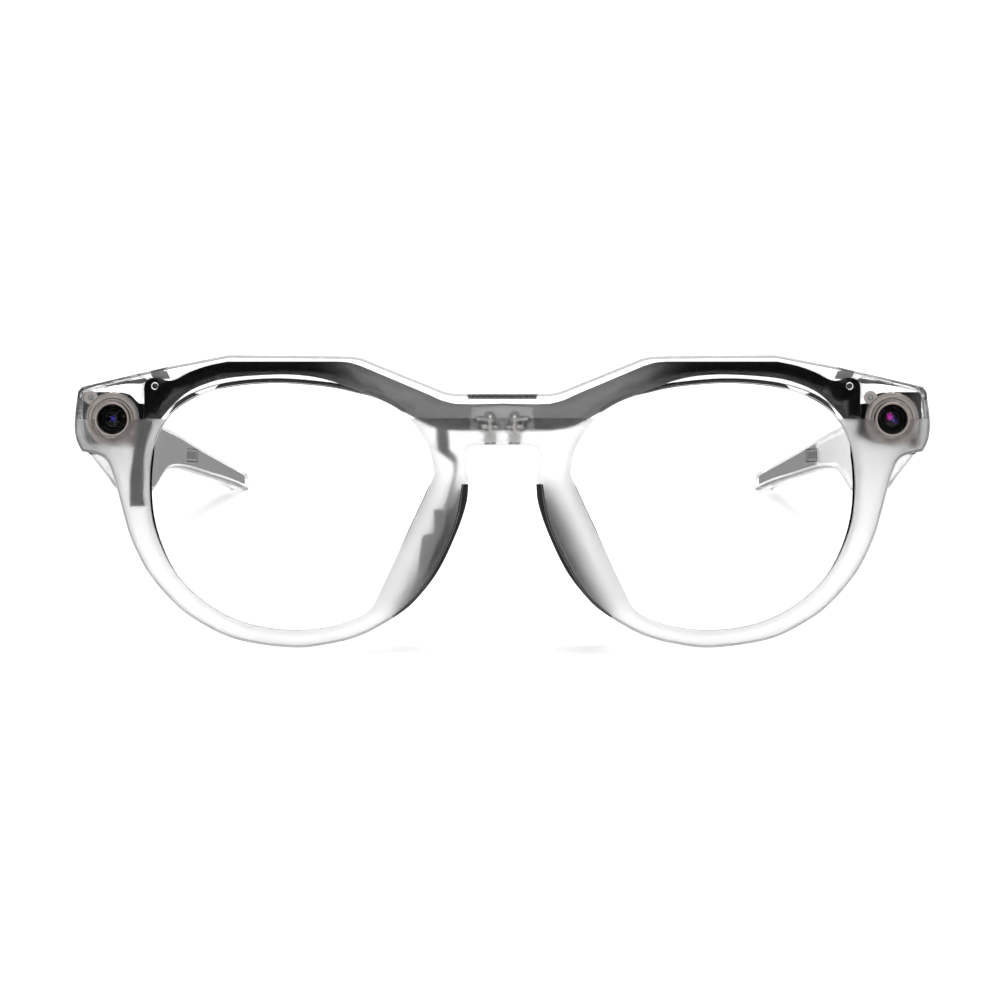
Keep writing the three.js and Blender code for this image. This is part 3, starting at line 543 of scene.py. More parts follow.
# Black for the hidden border and for the painted shade at the lens edge.
lens_ink_and_painted_shade = grained("lens_border_ink_and_painted_shade", 0.5, 2, grey(0.001), grey(0.003), 0.4, IOR=1.08)


def share(value, start, end):
    """How much of the way value has gone from start to end, from 0 to 1."""
    return min(max((value - start) / (end - start), 0), 1)


def border(x, z):
    """Where the black border starts and ends, in from the edge of the lens; at the outer side and the nose it reaches
    past the groove as painted shade.
    """
    brow = share(z, 14.5, 17.5) * share(x, 17.5, 25.5) * share(abs(x - 51.6), 1.08, 2.28)
    outer = share(x, 48, 56) * share(z, 10, 8) * share(z, -14, -4)
    nose = share(x, 21, 18) * share(z, 3.5, 2) * share(z, -13, -5)
    return 0.74 * (1 - brow), 0.74 + 0.1 * brow + (0.34 * outer + 0.2 * nose) * (1 - brow)


lens_outline = grown(EYE, LENS_BITE)
ink_and_shade_limits = [[tuple(np.array(p) + (np.array(q) - np.array(p)) * border(*p)[limit])
          for p, q in zip(lens_outline, grown(lens_outline, -1))] for limit in (0, 1)]
lens = layered([([lens_outline], [])], [2, eased(3.7, [lens_outline], rounded(0.2, 0.2, 2), -1)],
               swept, [*ink_and_shade_limits, grown(lens_outline, -0.2)])
for side in ("left", "right"):
    made = piece(f"lens_{side}_clear", [lens], [lens_clear, lens_ink_and_painted_shade], "front", "lens", f"lens_{side}",
                 mirror=side == "right")
    flat = middles_of(made)[:, [0, 2]] * (1 if side == "left" else -1, 1)
    held = inside(flat, ink_and_shade_limits[0]) & ~inside(flat, ink_and_shade_limits[1]) | (away(flat, [lens_outline]) < 0.01) & (flat[:, 1] > 17)
    recoated(made, held, 1)

# ---------------------------------------------------------------- brow carrier
# The black moulded carrier of the brow: the electronics' flex runs behind it from temple to temple. It
# drops into the front shell and is held by a black pin through the round ear at each end.
carrier_black = grained("carrier_black", 0.35, 3, grey(0.006), grey(0.009), 0.09, IOR=1.46)
pin_rooms = [circle(side * PIN_AT[0], PIN_AT[1], 0.65, 24) for side in (1, -1)]
plate_room = rectangle(-5.75, 11.9, 5.75, 16.5)
CARRIER_EDGE = rounded(0.15, 0.15, 2)
piece("brow_carrier_black", [layered(
    [([BAND], pin_rooms + [plate_room]), ([BAND], pin_rooms)],
    [eased(0.9, [BAND], CARRIER_EDGE), 1.35, CARRIER_BACK], swept, rings([BAND], CARRIER_EDGE))],
    [carrier_black], "front", "carrier_black", "brow_carrier")


def turned(profile, centre, axis="y", sides=48):
    """A round piece: a closed profile of (radius, height) turned about an axis through centre."""
    corners, faces, rows = [], [], []
    for radius, height in profile:
        rows.append([len(corners) + i for i in range(sides)] if radius > 1e-6 else [len(corners)] * sides)
        for i in range(sides if radius > 1e-6 else 1):
            turn = 2 * math.pi * i / sides
            across, over = radius * math.cos(turn), radius * math.sin(turn)
            off = {"x": (height, across, over), "y": (across, height, over), "z": (across, over, height)}[axis]
            corners.append(tuple(c + o for c, o in zip(centre, off)))
    for a, b in zip(rows, rows[1:] + rows[:1]):
        for i in range(sides):
            j = (i + 1) % sides
            face = list(dict.fromkeys((a[i], a[j], b[j], b[i])))
            if len(face) > 2:
                faces.append(face)
    return corners, faces


def bar(radius, low, high, edge=0.1):
    """The profile of a round bar with softened ends."""
    return [(0, low), (radius - edge, low), (radius - edge * 0.3, low + edge * 0.3), (radius, low + edge),
            (radius, high - edge), (radius - edge * 0.3, high - edge * 0.3), (radius - edge, high), (0, high)]


for side, x in (("left", PIN_AT[0]), ("right", -PIN_AT[0])):
    piece(f"locating_pin_{side}_black", [turned(bar(0.5, 0.9, 3.8), (x, sweep(x), PIN_AT[1]), sides=24)],
          [carrier_black], "front", "carrier_black", f"locating_pin_{side}")

# ---------------------------------------------------------------- antenna, sensor flex and wear sensor
# Thin flexible circuits: a printed antenna in the wearer's right rim, and a narrow tail from behind the
# carrier down the nose to the sensor that feels whether the glasses are worn.
film = new_look("flex_film")
tracks = film.node("ShaderNodeTexWave", {"wave_type": "BANDS", "bands_direction": "Z"},
                   {"Vector": film.spot(), "Scale": 320.0, "Distortion": 1.2})
flex_film = film.surface(
    Base_Color=film.blend(tracks, grey(0.032), grey(0.055, (1, 0.97, 0.93))), Roughness=0.45,
    Normal=film.bump(tracks, 0.01), IOR=1.5)
sensor_shield = grained("sensor_shield", 1.2, 3, grey(0.15), grey(0.2), 0.5, IOR=1.45)
for name, outline, depth, thick, node, look in (
        ("antenna_film", ANTENNA, 0.9, 0.4, "antenna_flex", flex_film),
        ("sensor_flex_film", FLEX, CARRIER_BACK + CLEARANCE, 0.4, "sensor_flex", flex_film),
        ("wear_sensor_film", SENSOR, 0.9, 1.35, "wear_sensor", sensor_shield)):
    piece(name, [slab(straight(outline), [], depth, depth + thick, 0.12, swept)], [look], "front", "flex_grey", node)

# ---------------------------------------------------------------- charging plate, contacts and strip
# The charging module under the bridge: a brushed steel plate, two sprung grey-plated contacts whose
# flat ends come out at the underside, and the black strip over the microphone in the top of the bridge.
brushed = new_look("brushed_steel")
lay = brushed.speckle(0.12, 2, (1, 1, 0.06))
brushed_steel = brushed.surface(
    Base_Color=brushed.blend(lay, grey(0.16), grey(0.22)), Metallic=1.0, Roughness=0.32 + lay * 0.14,
    Normal=brushed.bump(lay, 0.004))
plate_outline = straight([(-5.5, 12.1), (5.5, 12.1), (5.5, 16.15), (0, 16.4), (-5.5, 16.15)])
notch = trace((0.5, 11.5), [(4.1, 11.5)], [(4.3, 13.3)], [(4.9, 13.6), (4.9, 14.2), (4.4, 14.6)], [(3.1, 14.6)],
              [(2.9, 15.1), (2.3, 15.4), (1.6, 15.2), (1.2, 14.6)], [(1.1, 13.4)], [(0.5, 13.2)], [(0.5, 11.5)],
              step=0.4)[:-1]
notches = [notch, mirrored(notch)]
plate_edges, PLATE_EDGE = [plate_outline, *notches], rounded(0.08, 0.08, 2)
piece("charging_plate_brushed", [layered(
    [([plate_outline], notches)], [eased(0.9, plate_edges, PLATE_EDGE), 1.2], swept, rings(plate_edges, PLATE_EDGE),
    1)], [brushed_steel], "front", "plate_steel", "charging_plate")


def block(low, high, edge=0.08):
    """A box with softened edges."""
    built = bmesh.new()
    bmesh.ops.create_cube(built, size=1)
    for vertex in built.verts:
        vertex.co = [(a + b) / 2 + c * (b - a) for a, b, c in zip(low, high, vertex.co)]
    bmesh.ops.bevel(built, geom=built.edges[:], offset=edge, segments=2, profile=0.5, affect="EDGES")
    built.verts.index_update()
    corners, faces = [tuple(v.co) for v in built.verts], [[v.index for v in f.verts] for f in built.faces]
    built.free()
    return corners, faces


contact_plating = grained("contact_plating", 0.6, 4, (0.34, 0.335, 0.32, 1), (0.6, 0.59, 0.57, 1), 0.22, 0.12,
                          Metallic=1.0)
for side, x in (("left", CONTACT_X), ("right", -CONTACT_X)):
    way = math.copysign(1, x)
    barrel = turned([(0, 9.75), (0.8, 9.75), (0.93, 9.82), (1, 9.95), (1, 10.5), (0.9, 10.6), (0.9, 10.75),
                     (1, 10.85), (1, 11.6), (0.85, 11.8), (0, 11.8)], (x, 2.6, 0), "z", 40)
    cross = [block((x - 0.3, 0.95, 11.3), (x + 0.3, 1.25, 14.4)),
             block((x - 0.45, 0.95, 11.3), (x + 0.45, 2.6, 11.75)),
             block((x - 0.75, 0.92, 13.7), (x + 0.75, 1.22, 14.1)),
             turned(bar(0.32, 0.88, 1.2), (x, 0, 14.5), "y", 24),
             turned(bar(0.3, 0.9, 1.2), (x + way * 2.1, 0, 14.1), "y", 20)]
    for a, b, low, high in ((-1.45, -0.35, 12.5, 12.95), (0.45, 1.5, 12.45, 13.1), (-0.75, 0.0, 11.7, 12.15),
                            (0.1, 0.75, 11.55, 12.0), (0.9, 1.7, 11.7, 12.2), (0.3, 1.9, 13.85, 14.25)):
        near, far = sorted((x + way * a, x + way * b))
        cross.append(block((near, 0.94, low), (far, 1.24, high)))
    piece(f"charging_contact_{side}_plated", [barrel, *cross], [contact_plating], "front", "contact_gold",
          f"charging_contact_{side}")

strip_look = new_look("strip_black")
mesh_grain = strip_look.node("ShaderNodeTexVoronoi", {}, {"Vector": strip_look.spot(), "Scale": 4000.0})
strip_black = strip_look.surface(
    Base_Color=strip_look.blend(mesh_grain, grey(0.002), grey(0.012)), Roughness=0.3, IOR=1.35,
    Normal=strip_look.bump(mesh_grain, 0.02))


def upright(x, y, z):
    """The place of a point of a plan, which isn't swept back."""
    return x, y, z


strip_plan = straight(rectangle(-5.95, 1.15, 5.95, 3.75))
piece("microphone_strip_black", [slab(strip_plan, [circle(0, 2.45, 0.4, 24)], 17.55, 18.35, 0.12, upright)],
      [strip_black], "front", "carrier_black", "microphone_strip")

# ---------------------------------------------------------------- nose pads
# Soft dark silicone pads, moulded on behind the rims. Each is a crescent down the side of the nose that
# flares outwards and back, with a full rounded contact face.
nose_silicone = grained("nose_silicone", 0.25, 3, grey(0.01), grey(0.02), 0.45, 0.1, 0.012, IOR=1.35,
                        Sheen_Weight=0.05)
PAD = trace((5.75, 2.9), [(6.1, -0.5), (7.85, -5.7), (11.1, -12.4), (15.2, -17.6), (18.3, -20.1)], [(19, -19.4)],
            [(16.2, -14.8), (13.2, -8.4), (10.6, -2.4), (8.2, 1.6), (7, 2.9)], [(5.75, 2.9)], step=0.5)[:-1]
PAD_FRONT, PAD_BACK = rounded(0.35, 0.4, 3), rounded(0.7, 2.2, 6)


def flared(x, z, depth):
    """The place of a point of a pad, which leans outwards as it goes back."""
    return x + (depth - 5) * 0.22, depth + sweep(x), z


for shell in (front_shell, rear_shell):
    shell.data.materials.append(nose_silicone)
    middles = middles_of(shell)
    wrapped = ((away(middles[:, [0, 2]], [RIM]) < 0.25) & (middles[:, 2] < 2.9) & (middles[:, 2] > -20.1)
               & (np.abs(middles[:, 0]) < 19))
    recoated(shell, wrapped, len(shell.data.materials) - 1)
pad = layered([([PAD], [])], [eased(5.3, [PAD], PAD_FRONT), eased(10, [PAD], PAD_BACK, -1)], flared,
              rings([PAD], PAD_FRONT) + rings([PAD], PAD_BACK), 0.8)
for side in ("left", "right"):
    piece(f"nose_pad_{side}_silicone", [pad], [nose_silicone], "front", "nose_silicone", f"nose_pad_{side}",
          mirror=side == "right", sharp=60)

# ---------------------------------------------------------------- camera and capture light
# Two alike modules at the ends of the brow. A satin bronze bezel with two lugs is screwed in from
# behind; its barrel comes through the shells, and a coated window closes it in front of the lens stack.
bezel_bronze = grained("bezel_bronze", 0.2, 3, (0.27, 0.232, 0.212, 1), (0.34, 0.295, 0.272, 1), 0.36, 0.08,
                       0.004, Metallic=0.6, IOR=1.5)
lens_stack_black = grained("lens_stack_black", 0.3, 2, grey(0.001), grey(0.003), 0.5, IOR=1.12)
window_glass = grained("window_glass", 8, 2, grey(0.96), grey(1), 0.0, IOR=1.06, Transmission_Weight=1.0)
screw_steel = grained("screw_steel", 0.15, 2, grey(0.11), grey(0.2), 0.25, 0.15, Metallic=1.0)
board_look = new_look("board_black")
pads = board_look.node("ShaderNodeTexVoronoi", {"feature": "F1"}, {"Vector": board_look.spot(), "Scale": 1400.0})
board_black = board_look.surface(
    Base_Color=board_look.blend(board_look.ramp(pads, 0.15, 0.3), grey(0.2, (1, 0.85, 0.5)), grey(0.012)),
    Roughness=0.4, IOR=1.5)
foam_grey = grained("foam_grey", 0.3, 3, grey(0.36), grey(0.48), 0.7, 0, 0.02)
# What lies flat between the shells over each board: its black gasket, a strip of shielding and a foam pad.
SHADES = [trace((61.9, 11.5), [(63.4, 10.6), (65.8, 9.8)], [(72.4, 9.8)],
                [(73.1, 11), (73.4, 14), (73.1, 18.3), (72.5, 18.9)], [(66.5, 18.9)],
                [(65, 18.5), (64, 17.5), (63.4, 17.0)], [(61.9, 16.9)], [(61.9, 11.5)])[:-1],
          trace((61.5, 20.7), [(62.3, 21.4)], [(66, 20.8), (69.3, 20.1)], [(69.3, 19.9)], [(66, 20.4), (63.4, 20.4)],
                [(61.5, 20.7)])[:-1],
          straight([(57.9, 21.3), (60.9, 21.1), (61.4, 22.2), (58.5, 22.6)])]
SHADE_FACE, SHADE_BACK = 2.46, 2.64
# The glints painted on each lens element, as painted reflections: how far off centre, how wide, and the colour.
GLINTS = {"camera": ((-0.5, 0.55, 0.85, (0.3, 0.01, 0.22)), (0.55, -0.1, 0.8, (0.035, 0.02, 0.16)),
                     (-0.4, 0.4, 0.5, (0.24, 0.015, 0.19)), (0.5, -0.05, 0.22, (0.3, 0.3, 0.42))),
          "light": ((0.05, 0.1, 0.8, (0.004, 0.004, 0.07)), (0.05, 0.2, 0.36, (0.012, 0.012, 0.17)))}
for unit, x in (("camera", MODULE_X), ("light", -MODULE_X)):
    lugs = [(x + way * LUG_OFF, MODULE_Z - way * LUG_OFF) for way in (-1, 1)]
    disc = circle(x, MODULE_Z, 4.7, 72)
    ears = [circle(lx, lz, 1.2, 32) for lx, lz in lugs]
    holes = [circle(x, MODULE_Z, BARREL_HOLE_R, 64)] + [circle(lx, lz, 0.55, 20) for lx, lz in lugs]
    steps, sunk_by = [3.2, 3.3, 3.5, 3.62, 3.8, 4.4, 4.55, 4.7], [3.5, 0, 0, 3, 1.2, 1.2, 2, 3.6]
    ring = layered([([disc, *ears], holes)], [lambda p: 8.55 + 0.1 * np.interp(
        np.hypot(p[:, 0] - x, p[:, 1] - MODULE_Z), steps, sunk_by), 9.05],
        lambda a, b, c: (a, c, b), [circle(x, MODULE_Z, r, 64) for r in steps[1:-1]], 1)
    piece(f"{unit}_bezel_bronze", [ring], [bezel_bronze], "front", "bezel_bronze", f"{unit}_bezel")
    for which, (lx, lz) in zip(("upper", "lower"), lugs):
        head = turned([(0, 9.4), (0.62, 9.4), (0.75, 9.3), (0.75, 9.12), (0.42, 9.12), (0.42, 8.85), (0.3, 8.7),
                       (0, 8.66)], (lx, 0, lz), "y", 24)
        # A black disc in the screw's hollow: painted shade for the dark of its hole.
        recess_painted_shade = turned([(0, 8.78), (0.36, 8.78), (0.36, 8.88), (0, 8.88)], (lx, 0, lz), "y", 24)
        piece(f"{unit}_bezel_screw_{which}_steel", [head, recess_painted_shade], [screw_steel, lens_stack_black], "front",
              "screw_steel", f"{unit}_bezel_screw_{which}")
    tube = turned([(2.05, 13.7), (3.05, 13.7), (3.05, 7.15), (3.0, 7.0), (2.88, 6.9), (2.72, 6.9), (2.66, 6.98),
                   (2.66, 7.7), (2.05, 7.7)], (x, 0, MODULE_Z), "y", 72)
    piece(f"{unit}_barrel_bronze", [tube], [bezel_bronze], "front", "bezel_bronze", f"{unit}_barrel")
    dome = [(2.55 * k / 8, 6.95 + 0.2 * (k / 8) ** 2) for k in range(9)]
    window = turned([*dome, (2.55, 7.5), (2.2, 7.52), (0, 7.5)], (x, 0, MODULE_Z), "y", 72)
    piece(f"{unit}_window_glass", [window], [window_glass], "front", "dark_window", f"{unit}_window")
    # Its colour is dark, with glints painted on: painted reflections at fixed places on the lens element.
    coating_and_glints = new_look(f"{unit}_coating")
    shine = coating_and_glints.blend(coating_and_glints.speckle(0.7), grey(0.004), grey(0.008))
    for dx, dz, radius, tint in GLINTS[unit]:
        far_x, far_z = coating_and_glints.drawn(0) - (x + dx), coating_and_glints.drawn(2) - (MODULE_Z + dz)
        spread = far_x.worked("SQRT", far_x * far_x + far_z * far_z)
        shine = coating_and_glints.blend(coating_and_glints.ramp(spread, radius * 0.35, radius, 1.0, 0.0), shine, (*tint, 1))
    coating_with_painted_glints = coating_and_glints.surface(Base_Color=shine, Metallic=0.8, Roughness=0.1)
    cone = turned([(0, 8.6), (1.3, 8.6), (1.36, 8.25), (1.42, 8.2), (1.75, 8.15), (1.8, 7.95), (1.98, 7.9),
                   (2.05, 7.6), (2.6, 7.56), (2.6, 7.68), (1.98, 7.69), (1.98, 13.8), (0, 13.8)],
                  (x, 0, MODULE_Z), "y", 64)
    element = turned([*((1.25 * k / 8, 8.1 + 0.2 * (k / 8) ** 2) for k in range(9)), (1.25, 8.55), (0, 8.55)],
                     (x, 0, MODULE_Z), "y", 48)
    board = block((x - 3, 13.85, MODULE_Z - 3), (x + 3, 14.65, MODULE_Z + 3), 0.12)
    around = [[circle(x, MODULE_Z, 3.25, 64)], [], []]
    shades = [layered([([outline if x > 0 else mirrored(outline)], cut)], [SHADE_FACE, SHADE_BACK], swept)
              for outline, cut in zip(SHADES, around)]
    piece(f"{unit}_board_black", [cone, element, board, *shades],
          [lens_stack_black, coating_with_painted_glints, board_black, lens_stack_black, sensor_shield, foam_grey], "front",
          "board_black", f"{unit}_board")

# ---------------------------------------------------------------- hinges
# Steel barrel hinges. The base is screwed to the endpiece and holds two knuckles; the temple's own
# knuckle turns between them on a slotted screw, and its arm runs on into the temple shell.
hinge_steel = grained("hinge_steel", 0.2, 4, grey(0.4), grey(0.52), 0.25, 0.15, 0.003, Metallic=1.0)
HINGE_LOW, HINGE_HIGH, TONGUE = 11, 17, 1.8


def deck(outline, low, high, edge=0.12):
    """A plate seen from above, with a hole for the hinge screw."""
    return slab(outline, [circle(HINGE.x, HINGE.y, 0.72, 24)], low, high, edge, upright, 3)


def spun(start, end):
    """Part of the knuckle's round outline, from one angle to another."""
    turns = np.radians(np.linspace(start, end, 20))
    return [(HINGE.x + 1.6 * math.cos(t), HINGE.y + 1.6 * math.sin(t)) for t in turns]


base_arm = [(61.6, 12.6), (64.9, 12.6), (64.9, 16.2), *spun(-80, 190), (63.6, 17.4), (63.6, 13.7), (61.6, 13.7)]
base_foot = [(61.6, 12.6), (64.9, 12.6), (64.9, 16.2), (64.6, 16.8), (63.6, 16.8), (63.6, 13.7), (61.6, 13.7)]
knuckle_arm = [*spun(65, 335), (68.3, 20.6), (71, 24.4), (71, 37), (69.4, 37), (69.4, 26.2), (67.2, 22.6)]
low_cut, high_cut = HINGE.z - TONGUE / 2 - 0.1, HINGE.z + TONGUE / 2 + 0.1
base = [deck(base_arm, HINGE_LOW, low_cut), deck(base_foot, low_cut - 0.05, high_cut + 0.05, 0.02),
        deck(base_arm, high_cut, HINGE_HIGH)]
FOOT_SCREW_AT = (62.5, 0, 14)
foot_screw = [turned(bar(0.75, 13.78, 14.3), FOOT_SCREW_AT, "y", 28),
              turned(bar(0.45, 12.45, 14.3, 0.05), FOOT_SCREW_AT, "y", 20)]
pin_screw = [turned([(0, 10.7), (0.5, 10.7), (0.6, 10.8), (0.6, 17.1), (1.05, 17.12), (1.15, 17.22), (1.15, 17.5),
                     (0, 17.5)], (HINGE.x, HINGE.y, 0), "z", 32)]
for way in (-1, 1):
    cheek = [(HINGE.x + 1.1 * math.cos(t), HINGE.y + way * (0.15 + 0.95 * math.sin(t)))
             for t in np.linspace(0.1, math.pi - 0.1, 14)]
    pin_screw.append(layered([([cheek], [])], [17.48, 17.8], upright, pitch=3))
knuckle = [deck(knuckle_arm, HINGE.z - TONGUE / 2, HINGE.z + TONGUE / 2)]
for side, mirror in (("left", False), ("right", True)):
    for node, shapes, look, body, slot in (
            ("hinge_base", base, hinge_steel, "front", "hinge_steel"),
            ("hinge_foot_screw", foot_screw, screw_steel, "front", "screw_steel"),
            ("hinge_screw", pin_screw, screw_steel, "front", "screw_steel"),
            ("hinge_knuckle", knuckle, hinge_steel, f"temple_{side}", "hinge_steel")):
        piece(f"{node}_{side}_steel", shapes, [look], body, slot, f"{node}_{side}", mirror=mirror)

# ---------------------------------------------------------------- temple shells and covers
# Each temple is a deep clear outer tray and a flat inner cover. They hold the battery or the board and
# the speaker, curve in towards the ear, and end in a blunt drooping tip.
TOP_EDGE = trace((19.5, 19.2), [(45, 17), (70, 14.7), (87, 13.3), (111, 10.7), (132, 8.3), (146, 6.5), (150, 5.9)])
LOWER_EDGE = trace((19.5, 8.2), [(33, 6.2), (45, 4.2), (54, 2.3), (60, 1.7), (64, 2.2), (69, 3.7), (76, 5.6),
                                 (84, 6.3), (97, 6.2), (117, 5.1), (137, 3.8), (151.2, 2.3)])


def on_temple(y, z, depth):
    """The place of a point seen from the side, at a depth inwards from the temple's outer face."""
    inwards = 15.6 * max(0, (y - 20) / 132) ** 2.2
    slimmed = 1 - 0.4 * max(0, (y - 90) / 62) ** 1.5
    return 74 - inwards - depth * slimmed, y, z


def stretch(start, end, inset, step=1.2):
    """The side view between two distances, moved in by inset."""
    spots = np.linspace(start, end, max(2, int((end - start) / step)))
    top = [(y, np.interp(y, *zip(*TOP_EDGE)) - inset) for y in spots]
    low = [(y, np.interp(y, *zip(*LOWER_EDGE)) + inset) for y in spots[::-1]]
    return [tuple(map(float, p)) for p in top + low]


arm = stretch(19.5, 150, 0)
half = len(arm) // 2
blunt_end = trace(arm[half - 1], [(151.5, 5.0), (152, 3.2), (151.2, 2.3), arm[half]], step=0.4)[1:-1]
SIDE_VIEW = arm[:half] + blunt_end + arm[half:]
CAVITY = stretch(23, 146, 1.3)
ARM_SLOT, KNUCKLE_ROOM = rectangle(19.2, 13, 26.5, 15), rectangle(19.2, 10.5, 20.9, 18)
BUTTON_ROOM, SPEAKER_ROOM = rectangle(43.85, 9, 53.15, 22), rectangle(94.85, 7.75, 106.15, 10.45)
SLIDER_ROOM = rectangle(28.85, 12.85, 34.15, 15.15)
SIDE_EDGE, COVER_EDGE = rounded(1.1, 0.9), rounded(0.6, 0.6, 4)
# The grey on grazing surfaces and the dark tint of the rounded temple edge are painted shade.
clear_temple, temple_edge_painted_shade = clear_nylon("clear_temple", 0.0, 0.62), painted_edge_shade("temple_edge_painted_shade", 0.2)
chassis_grey = grained("chassis_grey", 0.12, 2, grey(0.19), grey(0.22), 0.62, 0.1, 0.008, IOR=1.3)
for side, mirror in (("left", False), ("right", True)):
    cuts = [[], [CAVITY], [CAVITY, ARM_SLOT]]
    depths = [eased(0, [SIDE_VIEW], SIDE_EDGE), 1.0, 2.7, 5.2]
    if side == "right":
        cuts[2:2] = [CAVITY, BUTTON_ROOM], [CAVITY, BUTTON_ROOM, ARM_SLOT]
        depths[2:3] = 1.85, 2.7, 4.15
    tray = layered([([SIDE_VIEW], cut) for cut in cuts], depths, on_temple, rings([SIDE_VIEW], SIDE_EDGE))
    shell = piece(f"temple_shell_{side}_clear", [tray], [clear_temple, temple_edge_painted_shade], f"temple_{side}",
                  "clear_temple", f"temple_shell_{side}", mirror=mirror)
    outlined(shell, [SIDE_VIEW], 0.3, 1)
    rooms = [ARM_SLOT, KNUCKLE_ROOM, SPEAKER_ROOM] + [SLIDER_ROOM] * (side == "left")
    panel = stretch(97 if side == "left" else 24, 148, 0.9)
    cover = piece(f"temple_cover_{side}_clear", [layered(
        [([SIDE_VIEW], rooms)], [5.5, eased(6.7, [SIDE_VIEW], COVER_EDGE, -1)], on_temple,
        rings([SIDE_VIEW], COVER_EDGE) + [panel])], [clear_temple, temple_edge_painted_shade, chassis_grey], f"temple_{side}",
        "clear_temple", f"temple_cover_{side}", mirror=mirror)
    outlined(cover, [SIDE_VIEW], 0.25, 1)
    recoated(cover, inside(middles_of(cover)[:, 1:], panel), 2)

# ---------------------------------------------------------------- what the temples hold
# Grey moulded chassis plates face the head, with a window for the speaker, and a shorter one fills the
# tip. Behind them lie the speaker, and the foil battery on the left or the main board on the right.
foil = new_look("battery_foil")
creases = foil.node("ShaderNodeTexVoronoi", {"feature": "DISTANCE_TO_EDGE"}, {"Vector": foil.spot(), "Scale": 180.0})
battery_foil = foil.surface(
    Base_Color=foil.blend(foil.speckle(3), grey(0.5), grey(0.62)), Metallic=0.7, Roughness=0.38,
    Normal=foil.bump(foil.ramp(creases, 0.0, 0.12), 0.05))
mask = new_look("board_green")
runs = mask.node("ShaderNodeTexBrick", {"offset": 0.5}, {
    "Vector": mask.spot(), "Scale": 260.0, "Color1": (0.012, 0.06, 0.035, 1), "Color2": (0.016, 0.08, 0.045, 1),
    "Mortar": (0.05, 0.13, 0.07, 1), "Mortar Size": 0.03})
board_green = mask.surface(Base_Color=runs, Roughness=0.35, IOR=1.5)
speaker_black = grained("speaker_black", 0.1, 1, grey(0.008), grey(0.022), 0.55, 0, 0.02, IOR=1.45)


def temple_plate(outline, near, far, cut=(), edge=0.15):
    return slab(outline, list(cut), near, far, edge, on_temple, 3)


def temple_box(y0, z0, y1, z1, near, far, edge=0.12):
    return temple_plate(straight(rectangle(y0, z0, y1, z1), 2), near, far, (), edge)


window = rectangle(95, 7.9, 106, 10.3)
slots = [rectangle(y, 8.4, y + 0.9, 9.8) for y in np.arange(96, 105, 1.6)]
core = temple_plate(stretch(38, 112, 1.45), 4.45, 4.95, [window])
tip_core = temple_plate(stretch(114, 145, 1.45), 1.6, 3.2)
speaker = temple_plate(stretch(93, 109, 1.8), 1.3, 4.25, (), 0.3)
grille = temple_plate(straight(window, 1), 5.4, 6.6, slots, 0.1)
for side, mirror in (("left", False), ("right", True)):
    for node, kind, shape, look, slot in (("temple_core", "grey", core, chassis_grey, "core_grey"),
                                          ("temple_tip_core", "grey", tip_core, chassis_grey, "core_grey"),
                                          ("speaker", "black", speaker, speaker_black, "speaker_black"),
                                          ("speaker_grille", "black", grille, chassis_grey, "speaker_black")):
        piece(f"{node}_{side}_{kind}", [shape], [look], f"temple_{side}", slot, f"{node}_{side}", mirror=mirror)
piece("battery_foil_pack", [temple_plate(stretch(42, 86, 2), 1.2, 4.25, (), 0.5)], [battery_foil], "temple_left",
      "battery_foil", "battery")
board = [temple_plate(stretch(56, 90, 2), 2.6, 3.4), temple_box(41, 7.5, 57, 12.2, 2.6, 3.4),
         temple_box(72, 7.6, 80, 11.6, 3.35, 4.2), temple_box(60, 5, 66, 9, 3.35, 4.2)]
for node, kind, shapes, looks, slot in (
        ("main_board", "green", board, [board_green, board_green, board_black, board_black], "board_green"),
        ("touch_strip", "film", [temple_plate(stretch(58, 88, 2.4), 1.15, 1.5, (), 0.05)], [flex_film], "flex_grey"),
        ("button_switch", "steel", [temple_box(46.5, 12.4, 50.5, 13.6, 1.9, 4.1)], [screw_steel], "switch_steel")):
    piece(f"{node}_{kind}", shapes, looks, "temple_right", slot, node, mirror=True)

# ---------------------------------------------------------------- capture button and power slider
# The two controls: a long pill that is pressed down through the top of the right temple, and a ridged
# thumb slider in the left cover. Both are moulded in grey and stand a little proud.
control_grey = grained("control_grey", 0.15, 2, grey(0.12), grey(0.15), 0.42, 0.1, 0.006, IOR=1.48)


def pill(y0, y1, top0, top1, low0, low1):
    """The button's side view, with rounded top corners."""
    return trace((y0, low0), [(y0, top0 - 0.6)], [(y0 + 0.15, top0 - 0.15), (y0 + 0.6, top0)], [(y1 - 0.6, top1)],
                 [(y1 - 0.15, top1 - 0.15), (y1, top1 - 0.6)], [(y1, low1)], [(y0, low0)], step=0.4)[:-1]


cap = temple_plate(pill(44, 53, 17.6, 16.8, 14.9, 14.1), 2, 4, (), 0.35)
foot = temple_plate(straight([(43.2, 15.35), (53.8, 14.4), (53.8, 13.9), (43.2, 14.85)]), 1.75, 4.25, (), 0.1)
piece("capture_button_grey", [cap, foot], [control_grey], "capture_button", "control_grey", "capture_button",
      mirror=True)
ridges = [temple_box(y, 13.05, y + 0.42, 14.95, 6.8, 7.1, 0.1) for y in np.arange(29.25, 31.6, 0.7)]
thumb, runner = temple_box(29, 13, 32, 15, 5.1, 6.85, 0.2), temple_box(28, 12.3, 33, 15.7, 4.95, 5.35, 0.1)
piece("power_slider_grey", [thumb, runner, *ridges], [control_grey], "power_slider", "control_grey", "power_slider")

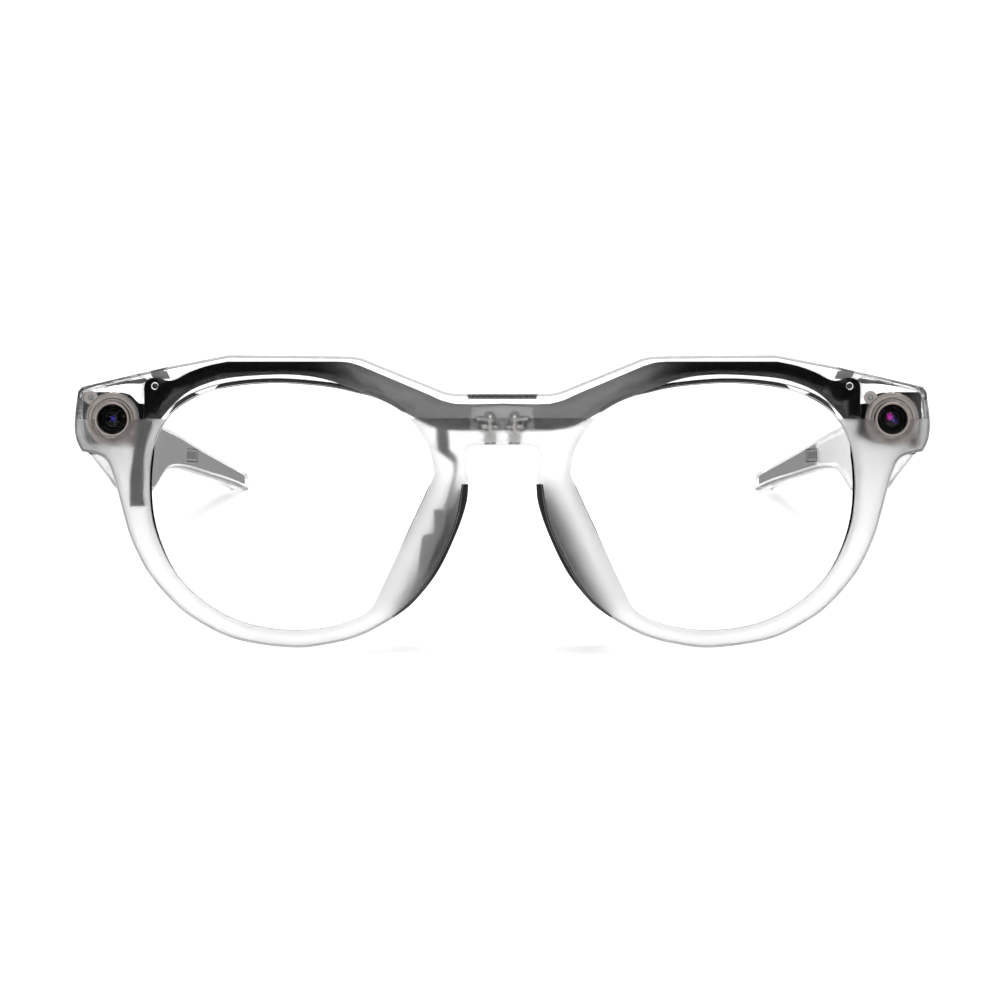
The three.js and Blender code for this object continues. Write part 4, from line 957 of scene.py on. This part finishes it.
# ---------------------------------------------------------------- studio
# A plain pale floor under an even white room. A soft box behind the camera and a darker band on each
# side of it give the black carrier its long highlight and the clear edges part of their lines; the rest of the edges'
# dark is painted shade.
bpy.ops.mesh.primitive_plane_add(size=60)
floor = bpy.context.object
floor.name = "floor"
floor.data.materials.append(grained("floor_paper", 3, 3, grey(0.9), grey(0.92), 0.9, Emission_Color=grey(1),
                                    Emission_Strength=0.34))
world = bpy.data.worlds.new("studio")
bpy.context.scene.world = world
room = Shader(world)
toward = room.node("ShaderNodeTexCoord", {}, {}, "Generated")
parts = room.node("ShaderNodeSeparateXYZ", {}, {0: toward})
ahead = Value(room, parts.socket.node.outputs[1])
above = Value(room, parts.socket.node.outputs[2])
across = abs(parts)
front_half = room.ramp(0 - ahead, 0.2, 0.55)
flag = front_half * room.ramp(across, 0.24, 0.32) * room.ramp(above, -0.02, 0.08)
ceiling = room.ramp(above, 0.55, 0.85)
WALL, FLAG, CEILING, SOFT_BOX = grey(1.04), grey(0.02), grey(0.8), grey(2.2)
bright = room.blend(ceiling, room.blend(flag, WALL, FLAG), CEILING)
box_height = room.ramp(above, 0.02, 0.08) * (1 - room.ramp(above, 0.4, 0.5))
bright = room.blend(front_half * (1 - room.ramp(across, 0.2, 0.3)) * box_height, bright, SOFT_BOX)
lit = room.node("ShaderNodeBackground", {}, {"Color": bright, "Strength": 1.0})
room.node("ShaderNodeOutputWorld", {}, {"Surface": lit})
lamp = bpy.data.lights.new("soft_box", "AREA")
lamp.shape, lamp.size, lamp.energy = "SQUARE", 1.2, 14
overhead = bpy.data.objects.new("soft_box", lamp)
bpy.context.scene.collection.objects.link(overhead)
overhead.location = (0.2, 0.3, 1.6)
overhead.rotation_euler = (-0.15, 0.1, 0)
CAMERA_AWAY, SEEN_WIDTH, SENSOR = 600, 172.4, 36
camera = bpy.data.objects.new("camera", bpy.data.cameras.new("camera"))
bpy.context.scene.collection.objects.link(camera)
camera.data.sensor_width, camera.data.lens = SENSOR, SENSOR * CAMERA_AWAY / SEEN_WIDTH
stand = Matrix((AXES.col[0], AXES.col[2], -AXES.col[1])).transposed().to_4x4()
stand.translation = LEANT @ Vector((-0.4, -CAMERA_AWAY, 0.1))
camera.matrix_world = stand
bpy.context.scene.camera = camera
bpy.context.scene.view_settings.view_transform = "Standard"
